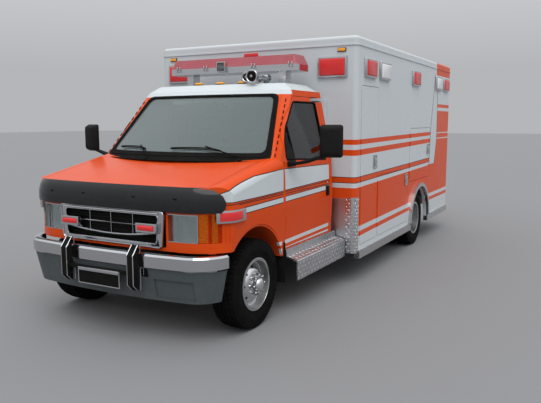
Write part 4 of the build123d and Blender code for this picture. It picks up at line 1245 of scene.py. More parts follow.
@dataclass(frozen=True)
class Vinyl(Finish):
    """Grained seat vinyl."""

    colour: Colour = (0.05, 0.055, 0.065)

    def build(self, recipe: Recipe) -> None:
        """Vinyl with a leather-like grain.

        Args:
            recipe: its material.
        """
        cells = recipe.node("ShaderNodeTexVoronoi", recipe.place)
        cells.inputs["Scale"].default_value = 260
        pale = tuple(c * 2.2 for c in self.colour)
        worn = recipe.mix(recipe.noise(9, 4).ramp(0.4, 0.8, 0.0, 0.35), self.colour, pale)
        recipe.surface(Base_Color=worn, Roughness=0.46, Sheen_Weight=0.15)
        recipe.bump(Field(recipe, cells.outputs["Distance"]), 0.0006, 0.5)


def band(s0: float, z0: float, s1: float, z1: float, depth: float, tone: Tone,
         span: Flat = (-1.0, 7.0)) -> Stripe:
    """Band of even depth under a sloping line.

    Args:
        s0, z0, s1, z1: two points of its upper edge.
        depth: how far it reaches down.
        tone: its colour.
        span: stations between which it shows.

    Returns:
        The stripe.
    """
    return Stripe((s0, z0 - depth, s1, z1 - depth), (s0, z0, s1, z1), span, tone)


CHROME = Metal("chrome_plate", "chrome", (0.56, 0.57, 0.59), 0.05)
BRIGHT = Metal("bright_aluminium", "aluminium", (0.62, 0.63, 0.65), 0.2, 0.00004)
SMOOTH_ALUMINIUM = Metal("satin_aluminium", "aluminium", (0.55, 0.56, 0.58), 0.32, 0.00004)
PLATE = TreadPlate("tread_plate", "aluminium")
BLACK = Plastic("black_trim", "black_plastic")
GREY = Plastic("grey_trim", "grey_plastic", shade(76, 83, 85), 0.45, 0.0002, 0.08, 0.2)
SEAL = Plastic("rubber_seal", "black_plastic", (0.005, 0.005, 0.005), 0.7, 0.0002, 0.03, 0.05)
CHASSIS = Plastic("chassis_black", "chassis", (0.012, 0.012, 0.012), 0.6, 0.0006, 0.25)
CAST = Metal("castings", "cast_metal", (0.12, 0.11, 0.10), 0.6, 0.0006)
# Windshield: its grey-blue tint is the glass's own, but only part of the light passes, so the tint also shows
# as a pale sheet, a painted reflection of the sky.
GLASS_WITH_PAINTED_REFLECTION = Glazing("tinted_glass_painted_reflection", "glass", (0.26, 0.32, 0.32), 0.0, 0.62)
SIDE_GLASS = Glazing("side_glass", "glass", (0.10, 0.14, 0.13))
RED = Lens("red_lens", "red_lens", (0.42, 0.008, 0.010), 0.25)
CLEAR = Lens("clear_lens", "clear_lens", (0.60, 0.64, 0.66), 0.6)
AMBER = Lens("amber_lens", "amber_lens", shade(226, 112, 18), 0.25)
PINK = Lens("faded_dome", "pink_lens", shade(192, 96, 104), 0.3, 0.02, 0.0008)
SMOKED = Plastic("smoked_shield", "dark_acrylic", (0.010, 0.011, 0.013), 0.04, 0.0, 0.01, 0.35)
RUBBER = Rubber("tyre_rubber", "wheel")
WHEEL_CHROME = Metal("wheel_chrome", "wheel", (0.66, 0.67, 0.69), 0.07)
RIM = Metal("rim_steel", "wheel", (0.45, 0.46, 0.47), 0.35)
CLEAR_SHELL = Glazing("clear_shell", "clear_lens", (0.88, 0.92, 0.92), 0.0, 1.0, 1.15)
AMBER_SHELL = Glazing("amber_shell", "amber_lens", shade(255, 214, 160), 0.0, 1.0, 1.15)
AMBER_BOWL = Metal("amber_bowl", "amber_lens", shade(244, 158, 66), 0.22)
# Headlamp bowl: metal darker than bright plating, as painted shade inside the lamp.
REFLECTOR_WITH_PAINTED_SHADE = Metal("lamp_bowl_painted_shade", "chrome", (0.46, 0.49, 0.49), 0.14)
VINYL = Vinyl("seat_vinyl", "seat_vinyl")
CAB_PAINT = CabLivery("cab_paint", "body_paint", Tone.ORANGE.value, 0.2, (
    band(-0.50, 1.078, 1.60, 1.104, 0.007, Tone.DARK, (-0.50, 1.60)),
    band(-0.50, 1.070, 1.60, 1.076, 0.007, Tone.DARK, (-0.30, 1.60)),
    Stripe((-0.181, 0.985, 1.334, 1.008), (-0.21, 1.038, 1.332, 1.063), (-0.225, 1.60), Tone.DARK),
    Stripe((-0.181, 0.992, 1.334, 1.015), (-0.21, 1.031, 1.332, 1.056), (-0.21, 1.60), Tone.WHITE),
    band(0.40, 0.655, 1.60, 0.672, 0.034, Tone.WHITE, (0.30, 1.60)),
    band(0.40, 0.590, 1.60, 0.607, 0.060, Tone.WHITE, (0.30, 1.60)),
))
CAB_WHITE = Paint("cab_white", "box_paint", Tone.WHITE.value, 0.25)
FRAME_PAINT = StripedPaint("pillar_paint", "body_paint", Tone.ORANGE.value, 0.22, (
    Stripe((0.0, 1.944, 1.0, 1.944), (0.0, 2.2, 1.0, 2.2), (0.5, 0.892), Tone.WHITE),))
BOX_LIVERY = BoxLivery("box_livery", "box_paint", Tone.BOX.value, 0.24, (
    band(1.73, 1.510, 4.59, 1.542, 0.052, Tone.ORANGE),
    band(1.73, 1.407, 4.59, 1.448, 0.060, Tone.ORANGE),
    band(1.73, 1.129, 4.81, 1.176, 0.064, Tone.DARK),
    band(1.73, 1.122, 4.81, 1.169, 0.050, Tone.ORANGE),
    Stripe((1.73, 0.606, 4.82, 0.647), (1.73, 1.017, 4.81, 1.070), (1.5, 6.0), Tone.ORANGE),
    band(1.73, 0.552, 4.82, 0.596, 0.050, Tone.ORANGE),
))


class Assembly:
    """A group of pieces and the nodes that it dresses."""

    def dress(self, finish: Finish, *nodes: str) -> None:
        """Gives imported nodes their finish.

        Args:
            finish: the finish.
            nodes: names of the nodes.
        """
        for node in nodes:
            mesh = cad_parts[node].data
            mesh.materials.clear()
            mesh.materials.append(finish.material())
            log.info("dressed %s with %s", node, finish.name)

    def keep(self, piece: Piece, name: str, body: str, finish: Finish, replaces: Iterable[str] = (),
             sharp: float = 32) -> Piece:
        """Names, shades and finishes a piece, and lets it ride on a body.

        Args:
            piece: the mesh.
            name: its name.
            body: the body that carries it.
            finish: its finish.
            replaces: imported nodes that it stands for.
            sharp: edges that bend by more than this, in degrees, shade sharp.

        Returns:
            The same object.
        """
        settled(piece)
        pick(piece)
        bpy.ops.object.shade_smooth_by_angle(angle=radians(sharp))
        piece.name = piece.data.name = name
        piece.data.materials.clear()
        piece.data.materials.append(finish.material())
        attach(piece, body)
        if replaces:
            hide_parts(*replaces)
        log.info("made %s on %s with %s, %d faces", name, body, finish.name, len(piece.data.polygons))
        return piece


@dataclass
class Shell(Assembly):
    """Painted panels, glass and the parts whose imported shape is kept."""

    def build(self) -> None:
        """Dresses the panels."""
        for finish, nodes in (
                (CAB_PAINT, "hood front_clip cab_door_left cab_door_right"),
                (FRAME_PAINT, "cab_frame"),
                (CAB_WHITE, "cab_roof"),
                (BOX_LIVERY, "module_left_wall module_right_wall module_front_wall"),
                (BOX_LIVERY, "module_rear_frame module_roof"),
                (BOX_LIVERY, "compartment_door_front compartment_door_middle compartment_door_upper"),
                (BOX_LIVERY, "side_entry_door rear_door_left rear_door_right"),
                (GLASS_WITH_PAINTED_REFLECTION, "windshield"),
                (SIDE_GLASS, "cab_glass_left cab_glass_right"),
                (SMOKED, "hood_deflector"),
                (CHROME, "grille front_bumper air_horns"),
                (BRIGHT, "wheel_flares light_bar rub_rails"),
                (SEAL, "bumper_guards"),
                (BLACK, "mirror_left mirror_right dashboard steering_wheel cab_floor"),
                (GREY, "bumper_valance"),
                (PLATE, "running_boards rear_step"),
                (SMOOTH_ALUMINIUM, "module_floor compartment_liners"),
                (CHASSIS, "frame_rails front_axle rear_axle driveshaft fuel_tank"),
                (CAST, "engine_block exhaust knuckle_left knuckle_right"),
                (RED, "warning_lights tail_lamps"),
                (CLEAR, "scene_lights headlamps"),
                (AMBER, "marker_lights corner_lamps"),
                (PINK, "light_bar_lens"),
                (VINYL, "cab_seats bench_seat"),
                (RUBBER, "front_wheel_left front_wheel_right rear_wheels_left rear_wheels_right")):
            self.dress(finish, *nodes.split())


@dataclass
class Wheels(Assembly):
    """Treaded tyres on steel rims, with bright covers and lug caps."""

    sets: int = 58
    lugs: int = 8
    holes: int = 8
    dual: float = 0.132
    shoulder: float = 0.085
    front_x: float = 0.877
    rear_x: float = 0.946

    def tyre(self, x: float, station: float) -> Piece:
        """One tyre with grooves, shoulder blocks and side rings.

        Args:
            x, station: its middle.

        Returns:
            The tyre.
        """
        centre = (x, station, TYRE_RADIUS)
        half = ((0.090, 0.2053), (0.094, 0.214), (0.0985, 0.221), (0.1005, 0.234), (0.1065, 0.262),
                (0.1090, 0.266), (0.1120, 0.290), (0.1120, 0.296), (0.1105, 0.299), (0.1090, 0.325),
                (0.1045, 0.345), (0.0970, 0.3585), (0.0900, 0.3640), (0.0560, 0.3650), (0.0545, 0.3600),
                (0.0465, 0.3600), (0.0450, 0.3660), (0.0190, 0.3665), (0.0175, 0.3600), (0.0095, 0.3600),
                (0.0080, 0.3665))
        carcass = turned([*half, *((-a, r) for a, r in reversed(half))], centre, steps=60)
        top = TYRE_RADIUS + 0.3715
        pitch = 2 * pi * TYRE_RADIUS / self.sets
        lugs = []
        # Each row: its two edges along the axle, its share of the pitch, and its shift in pitches.
        for low, high, share, shift in ((0.0580, 0.1010, 0.74, 0.0), (0.0205, 0.0440, 0.66, 0.30),
                                        (-0.0070, 0.0070, 0.70, 0.10), (-0.0440, -0.0205, 0.66, 0.55),
                                        (-0.1010, -0.0580, 0.74, 0.25)):
            reach = pitch * share / 2
            block = slab((x + low, station - reach, top - 0.013), (x + high, station + reach, top), 0.0015, 1)
            for vertex in block.data.vertices:
                if abs(vertex.co.x - x) > self.shoulder:
                    vertex.co.z -= 0.0065
            lugs.append(revolved(block, shift * 2 * pi / self.sets, centre, (1, 0, 0)))
        return joined([carcass, around(joined(lugs), self.sets, centre)])

    def barrel(self, x: float, station: float) -> Piece:
        """Steel rim between its two flanges.

        Args:
            x, station: its middle.

        Returns:
            The rim.
        """
        half = ((0.102, 0.196), (0.102, 0.2185), (0.0975, 0.2195), (0.0935, 0.2120), (0.0900, 0.2045),
                (0.060, 0.2030), (0.052, 0.1990))
        inner = ((0.050, 0.1930), (0.100, 0.1960))
        section = [*half, *((-a, r) for a, r in reversed(half)),
                   *((-a, r) for a, r in reversed(inner)), *inner]
        return turned(section, (x, station, TYRE_RADIUS), steps=56)

    def caps(self, x: float, station: float, circle: float, foot: float, tip: float) -> Piece:
        """Ring of lug caps.

        Args:
            x, station: the wheel's middle.
            circle: distance of the lugs from the axle.
            foot, tip: where they start and end along it.

        Returns:
            The caps in one mesh.
        """
        reach = tip - foot
        section = ((0, 0), (0, 0.0135), (reach * 0.25, 0.0135), (reach * 0.25, 0.0115),
                   (reach * 0.82, 0.0110), (reach * 0.96, 0.0080), (reach, 0.0030), (reach, 0))
        cap = turned(section, (x + foot, station, TYRE_RADIUS + circle), steps=10)
        return around(cap, self.lugs, (x, station, TYRE_RADIUS))

    def cover(self, x: float, station: float, outer: Sequence[Flat], hole_circle: float,
              hole_x: float) -> Piece:
        """Bright pressed cover with its hand holes.

        Args:
            x, station: the wheel's middle.
            outer: its outer face, from the rim's lip to the middle.
            hole_circle: distance of the holes from the axle.
            hole_x: where the hole cutters lie along it.

        Returns:
            The cover.
        """
        section = [*outer, *((a - 0.0035, max(0.0, r - 0.002)) for a, r in reversed(outer))]
        shell = turned(section, (x, station, TYRE_RADIUS), steps=64)
        drill = turned(((-0.05, 0), (-0.05, 0.0155), (0.05, 0.0155), (0.05, 0)),
                       (x + hole_x, station, TYRE_RADIUS + hole_circle), steps=14)
        around(drill, self.holes, (x, station, TYRE_RADIUS))
        return cut_by(shell, drill)

    def fit(self, side: str, body: str, parts: Iterable[tuple]) -> None:
        """Keeps a wheel's parts, turned over for the right side.

        Args:
            side: left or right.
            body: the body that carries them.
            parts: mesh, last part of the name, finish and replaced nodes.
        """
        for piece, part, finish, stands_for in parts:
            if side == "right":
                twin = opposite(piece)
                bpy.data.objects.remove(piece)
                piece = twin
            self.keep(piece, f"{body}_{part}", body, finish, stands_for)

    def front(self, side: str) -> None:
        """One steered wheel.

        Args:
            side: left or right.
        """
        x, body = self.front_x, f"front_wheel_{side}"
        dome = ((0.1030, 0.2190), (0.1035, 0.2100), (0.0970, 0.2055), (0.0800, 0.2010), (0.0500, 0.1980),
                (0.0360, 0.1910), (0.0300, 0.1800), (0.0300, 0.1720), (0.0360, 0.1640), (0.0500, 0.1500),
                (0.0680, 0.1340), (0.0800, 0.1220), (0.0860, 0.1130), (0.0880, 0.1000), (0.0880, 0.0660),
                (0.0920, 0.0610), (0.1300, 0.0570), (0.1430, 0.0520), (0.1520, 0.0420), (0.1580, 0.0250),
                (0.1595, 0.0))
        drum = turned(((-0.085, 0.031), (-0.085, 0.165), (0.012, 0.165), (0.012, 0.031)),
                      (x, 0, TYRE_RADIUS), steps=40)
        self.fit(side, body, ((self.tyre(x, 0), "tyre", RUBBER, (body,)), (self.barrel(x, 0), "rim", RIM, ()),
                              (self.cover(x, 0, dome, 0.144, 0.055), "cover", WHEEL_CHROME, ()),
                              (self.caps(x, 0, 0.0830, 0.086, 0.136), "lugs", WHEEL_CHROME, ()),
                              (drum, "drum", CAST, ())))

    def rear(self, side: str) -> None:
        """One twin pair.

        Args:
            side: left or right.
        """
        x, body = self.rear_x, f"rear_wheels_{side}"
        dish = ((0.2355, 0.2190), (0.2360, 0.2100), (0.2300, 0.2055), (0.2000, 0.2000), (0.1000, 0.1970),
                (0.0620, 0.1900), (0.0480, 0.1780), (0.0380, 0.1600), (0.0280, 0.1420), (0.0200, 0.1240),
                (0.0170, 0.1100), (0.0170, 0.0800), (0.0240, 0.0760), (0.0900, 0.0720), (0.1020, 0.0640),
                (0.1090, 0.0450), (0.1110, 0.0))
        tyres, rims = (joined([make(x - self.dual, WHEELBASE), make(x + self.dual, WHEELBASE)])
                       for make in (self.tyre, self.barrel))
        disc = turned(((-0.060, 0.043), (-0.060, 0.150), (-0.040, 0.196), (-0.034, 0.196), (-0.010, 0.140),
                       (-0.010, 0.043)), (x, WHEELBASE, TYRE_RADIUS), steps=40)
        self.fit(side, body, ((tyres, "tyres", RUBBER, (body,)), (rims, "rims", RIM, ()),
                              (self.cover(x, WHEELBASE, dish, 0.142, 0.03), "cover", WHEEL_CHROME, ()),
                              (self.caps(x, WHEELBASE, 0.0960, 0.014, 0.060), "lugs", WHEEL_CHROME, ()),
                              (disc, "disc", CAST, ())))

    def build(self) -> None:
        """All the wheels."""
        for side, _ in SIDES:
            self.front(side)
            self.rear(side)


@dataclass
class NoseLamps(Assembly):
    """Headlamps and corner lamps: clear shells over bowls, the headlamps' bowl darkened as painted shade
    inside the lamp.
    """

    low: float = 0.794
    high: float = 1.006
    bulb: Point = (0.676, -0.553, 0.900)
    bulb_way: Point = (0.12, -1.0, 0)

    def build(self) -> None:
        """Both sides' lamps."""
        lens_xs = (0.558, 0.60, 0.65, 0.70, 0.75, 0.798)
        corner_xs = (0.803, 0.83, 0.86, 0.89, 0.92, 0.945, 0.965, 0.985, 0.9995)
        lens = nose_strip(lens_xs, self.low, self.high, 0.0, -0.004, 0.0015)
        bowl = nose_strip(lens_xs, self.low, self.high, -0.034, -0.040)
        flutes = [nose_strip((x, x + 0.005), self.low + 0.02, self.high - 0.02, -0.006, -0.0085, 0.001)
                  for x in [0.600 + step * 0.040 for step in range(5)]]
        rear_bowl = turned(((0.0, 0.086), (0.0, 0.080), (-0.030, 0.052), (-0.046, 0.018), (-0.050, 0.0),
                            (-0.054, 0.0), (-0.050, 0.022), (-0.034, 0.058), (-0.006, 0.088)),
                           self.bulb, self.bulb_way, 28)
        bulb = turned(((-0.046, 0.0), (-0.046, 0.012), (-0.016, 0.012), (-0.008, 0.006), (-0.006, 0.0)),
                      self.bulb, self.bulb_way, 16)
        rims = [nose_strip(lens_xs, self.low - 0.001, self.low + 0.006, 0.0015, -0.03),
                nose_strip(lens_xs, self.high - 0.006, self.high + 0.001, 0.0015, -0.03),
                nose_strip((0.798, 0.803), self.low, self.high, 0.0015, -0.03)]
        amber = nose_strip(corner_xs, self.low, self.high, 0.0, -0.004, 0.0015)
        back = nose_strip(corner_xs, self.low, self.high, -0.030, -0.034)
        ribs = [nose_strip(corner_xs[:6], height, height + 0.006, -0.005, -0.009, 0.002)
                for height in [self.low + 0.012 + step * 0.0165 for step in range(12)]]
        for piece, name, finish, stands_for in (
                (lens, "headlamp_lens", CLEAR_SHELL, ("headlamps",)),
                (joined(flutes), "headlamp_flutes", CLEAR_SHELL, ()),
                (joined([bowl, rear_bowl]), "headlamp_bowl", REFLECTOR_WITH_PAINTED_SHADE, ()),
                (bulb, "headlamp_bulb", CLEAR, ()),
                (joined(rims), "headlamp_rim", CHROME, ()),
                (amber, "corner_lens", AMBER_SHELL, ("corner_lamps",)),
                (joined(ribs), "corner_ribs", CLEAR_SHELL, ()),
                (back, "corner_bowl", AMBER_BOWL, ())):
            self.keep(both(piece), name, "vehicle", finish, stands_for)


@dataclass
class Nose(Assembly):
    """Grille backing and edges, bumper trim, guards' loops and the plate bracket."""

    guard_x: float = 0.345

    def grille(self) -> None:
        """Black backing behind the bars and bright edges on them."""
        sheet = ((-0.512, 0.747), (0.512, 0.747), (0.536, 1.017), (-0.536, 1.017))
        back = prism([(x, -0.594, z) for x, z in sheet], (0, 0.004, 0))
        self.keep(back, "grille_backing", "vehicle", SEAL)
        rim = ((-0.5155, 0.744), (0.5155, 0.744), (0.5385, 1.0195), (-0.5385, 1.0195))
        hole = ((-0.468, 0.772), (0.468, 0.772), (0.486, 0.992), (-0.486, 0.992))
        face = ribbon(*[[(x, -0.617, z) for x, z in frame_line(corners, 0.03, 4)]
                        for corners in (rim, hole)], 0.030)
        self.keep(bevelled(face, 0.005), "grille_frame", "vehicle", CHROME, ("grille",))
        pieces = [tube([(x, station, z) for x, z in rounded(line, 0.03)], radius, cyclic=True, smooth=False)
                  for line, station, radius in ((rim, -0.634, 0.0055), (hole, -0.632, 0.0035))]
        pieces.append(tube([(-0.490, -0.634, 1.004), (0.490, -0.634, 1.004)], 0.0095, smooth=False))
        xs = [-0.478 + 0.956 * step / 20 for step in range(21)]
        sag = [(x, -0.624, 0.858 - 0.042 * (1 - (x / 0.478) ** 2)) for x in xs]
        pieces.append(tube(sag, 0.0095, smooth=False))
        pieces.append(slab((-0.480, -0.626, 0.901), (0.480, -0.612, 0.908), 0.002, 1))
        pieces += slabs([((x - 0.0025, -0.620, 0.818), (x + 0.0025, -0.608, 0.990))
                         for x in (-0.225, 0.0, 0.225)], 0.001, 1)
        self.keep(joined(pieces), "grille_edges", "vehicle", CHROME)
        slats = slabs([((-0.475, -0.606, height - 0.002), (0.475, -0.598, height + 0.002))
                       for height in (0.800, 0.870, 0.935, 0.965)], 0.0008, 1)
        self.keep(joined(slats), "grille_slats", "vehicle", BLACK)

    def guards(self) -> None:
        """Bright loops round the two rubber-faced guards, and the plate bracket's frame."""
        loops = []
        for _, side in SIDES:
            for offset in (-0.0285, 0.0285):
                x = side * self.guard_x + offset
                path = ((-0.800, 0.470), (-0.752, 0.424), (-0.722, 0.420), (-0.7165, 0.440), (-0.7165, 0.752),
                        (-0.722, 0.770), (-0.742, 0.770), (-0.800, 0.700))
                loops.append(tube([(x, s, z) for s, z in path], 0.0042, cyclic=True, smooth=False))
        self.keep(joined(loops), "guard_edges", "vehicle", CHROME)
        frame_bars = [slab((-0.214, -0.786, 0.528), (0.214, -0.770, 0.556), 0.005),
                      *slabs((((-0.214, -0.780, 0.420), (0.214, -0.772, 0.430)),
                              ((-0.218, -0.780, 0.420), (-0.208, -0.772, 0.552)),
                              ((0.208, -0.780, 0.420), (0.218, -0.772, 0.552))))]
        self.keep(joined(frame_bars), "plate_frame", "vehicle", CHROME)

    def bumper(self) -> None:
        """Dark step pads on the bumper's top, and the fenders' painted joints above its ends."""
        pads = []
        for low, high in ((-0.62, -0.40), (-0.29, 0.29), (0.40, 0.62), (0.66, 0.84), (-0.84, -0.66)):
            xs = [low + (high - low) * step / 6 for step in range(7)]
            plan = [(x, plan_station(x, BUMPER_PLAN) + back, 0.7065)
                    for back, row in ((0.018, xs), (0.048, reversed(xs))) for x in row]
            pads.append(prism(plan, (0, 0, 0.004), 0.001, 1))
        self.keep(joined(pads), "bumper_pads", "vehicle", GREY)
        joint = nose_strip((0.868, 0.880, 0.892, 0.904, 0.914), 0.712, 0.758, 0.0015, -0.004)
        self.keep(both(joint), "fender_joints", "vehicle", CAB_PAINT)

    def build(self) -> None:
        """The nose's trim."""
        self.grille()
        self.guards()
        self.bumper()


@dataclass
class Screen(Assembly):
    """Windshield seal and border, cowl strip, wipers, inside mirror and pillar beads."""

    cowl: float = 1.353

    @staticmethod
    def on_glass(x: float, height: float, out: float) -> Point:
        """Point that stands off the windshield."""
        return x, screen_station(x, height) - out, height + out * 0.6

    @staticmethod
    def pillar(share: float) -> Point:
        """Point of the bead's line on the windshield pillar, from its foot at 0 to its head at 1."""
        return tuple(Vector((0.945, 0.380, 1.392)).lerp(Vector((0.831, 0.809, 1.901)), share))

    def build(self) -> None:
        """The trim round the windshield."""
        corners = [(-0.890, 1.390), (0.890, 1.390), (0.738, 1.932), (-0.738, 1.932)]
        path = [(x, screen_station(x, z) - 0.001, z) for x, z in frame_line(corners, 0.055, 12)]
        self.keep(tube(path, 0.0085, cyclic=True, smooth=False), "screen_seal", "vehicle", SEAL)
        outside = ((-0.930, 1.3535), (0.930, 1.3535), (0.756, 1.950), (-0.756, 1.950))
        inside = ((-0.862, 1.423), (0.862, 1.423), (0.716, 1.928), (-0.716, 1.928))
        border = ribbon(*[[(x, screen_station(x, z) - 0.0035, z) for x, z in frame_line(corner, 0.06, 14)]
                          for corner in (outside, inside)], 0.003)
        self.keep(border, "screen_border", "vehicle", SEAL)
        xs = [-0.93 + 1.86 * step / 24 for step in range(25)]
        foot = self.cowl
        plan = [(x, screen_station(x, foot) - 0.055 + 0.02 * abs(x), 1.349) for x in xs]
        plan += [(x, screen_station(x, foot) - 0.004, 1.349) for x in reversed(xs)]
        self.keep(prism(plan, (0, 0, 0.010), 0.002, 1), "cowl_strip", "vehicle", SEAL)
        slots = slabs([((x, screen_station(x, foot) - 0.042 + 0.01 * abs(x), 1.3575),
                        (x + 0.004, screen_station(x, foot) - 0.012, 1.3610))
                       for x in [-0.80 + 0.02 * step for step in range(81)]], 0.001, 1)
        self.keep(joined(slots), "cowl_slots", "vehicle", BLACK)
        for name, foot, joint, near, far in (("driver", 0.695, 0.340, 0.485, -0.020),
                                             ("passenger", -0.225, -0.400, -0.320, -0.720)):
            # Arm, rail and blade: X, height and stand-off of three points, and the bar's radius.
            bars = [tube([self.on_glass(*point) for point in points], radius) for points, radius in (
                (((foot, 1.372, 0.030), ((foot + joint) / 2, 1.415, 0.034), (joint, 1.462, 0.026)), 0.0062),
                (((near, 1.436, 0.015), (joint, 1.464, 0.022), (far, 1.450, 0.015)), 0.0055),
                (((near, 1.431, 0.009), (joint, 1.456, 0.009), (far, 1.445, 0.009)), 0.0045))]
            boss = turned(((0, 0), (0, 0.022), (0.018, 0.018), (0.022, 0.0)),
                          (foot, screen_station(foot, 1.36) - 0.03, 1.358), (0, -0.3, 1), 18)
            self.keep(joined([*bars, boss]), f"wiper_{name}", "vehicle", SEAL)
        glass = slab((-0.13, 0.90, 1.775), (0.13, 0.925, 1.845), 0.012, 3)
        stalk = tube([(0, 0.915, 1.84), (0, 0.90, 1.88), (0, 0.83, 1.905)], 0.007)
        self.keep(joined([glass, stalk]), "inside_mirror", "vehicle", BLACK)
        points = [self.pillar(step / 19) for step in range(20)]
        beads = [tube([(side * x, s, z) for x, s, z in pair], 0.0050, smooth=False)
                 for _, side in SIDES for pair in zip(points[:-1:2], points[1::2])]
        self.keep(joined(beads), "pillar_beads", "vehicle", SEAL)


@dataclass
class CabSides(Assembly):
    """Window seals, corner panels, handles and locks of the cab doors, and the mud flaps."""

    window: Line = ((0.527, 1.366), (0.562, 1.535), (0.632, 1.646), (0.850, 1.858), (0.884, 1.875),
                    (1.352, 1.875), (1.378, 1.320))
    sail: Line = ((0.530, 1.350), (0.700, 1.336), (0.672, 1.44), (0.600, 1.600), (0.562, 1.535))

    def build(self) -> None:
        """Both doors' trim."""
        for name, side in SIDES:
            body = f"cab_door_{name}"
            path = [(side * (side_x(z) - 0.002), s, z) for s, z in rounded(self.window, 0.026)]
            seal = tube(path, 0.0085, cyclic=True, smooth=False)
            self.keep(seal, f"window_seal_{name}", body, SEAL)
            sail = [(side * (side_x(z) - 0.010), s, z) for s, z in self.sail]
            self.keep(prism(sail, (side * 0.012, 0, 0), 0.002, 1), f"corner_panel_{name}", body, BLACK)
            post = [(side * (side_x(reach) - 0.006), s, z) for reach, s, z in (
                (1.34, 0.700, 1.34), (1.60, 0.664, 1.60), (1.70, 0.664, 1.676))]
            self.keep(tube(post, 0.009, smooth=False), f"window_post_{name}", body, SEAL)
            cup = slab((side * 0.994, 1.352, 0.955), (side * 1.0075, 1.436, 1.055), 0.006, 3)
            grip = slab((side * 1.004, 1.364, 0.965), (side * 1.021, 1.392, 1.045), 0.006, 3)
            self.keep(joined([cup, grip]), f"door_handle_{name}", body, BLACK)
            lock = turned(((0, 0), (0, 0.012), (0.004, 0.011), (0.004, 0.0)), (side * 1.000, 1.40, 1.085),
                          (side, 0, 0), 16)
            self.keep(lock, f"door_lock_{name}", body, CHROME)
            flap = slab((side * 0.775, 0.456, 0.275), (side * 1.006, 0.463, 0.640), 0.003)
            self.keep(flap, f"mud_flap_{name}", "vehicle", SEAL)


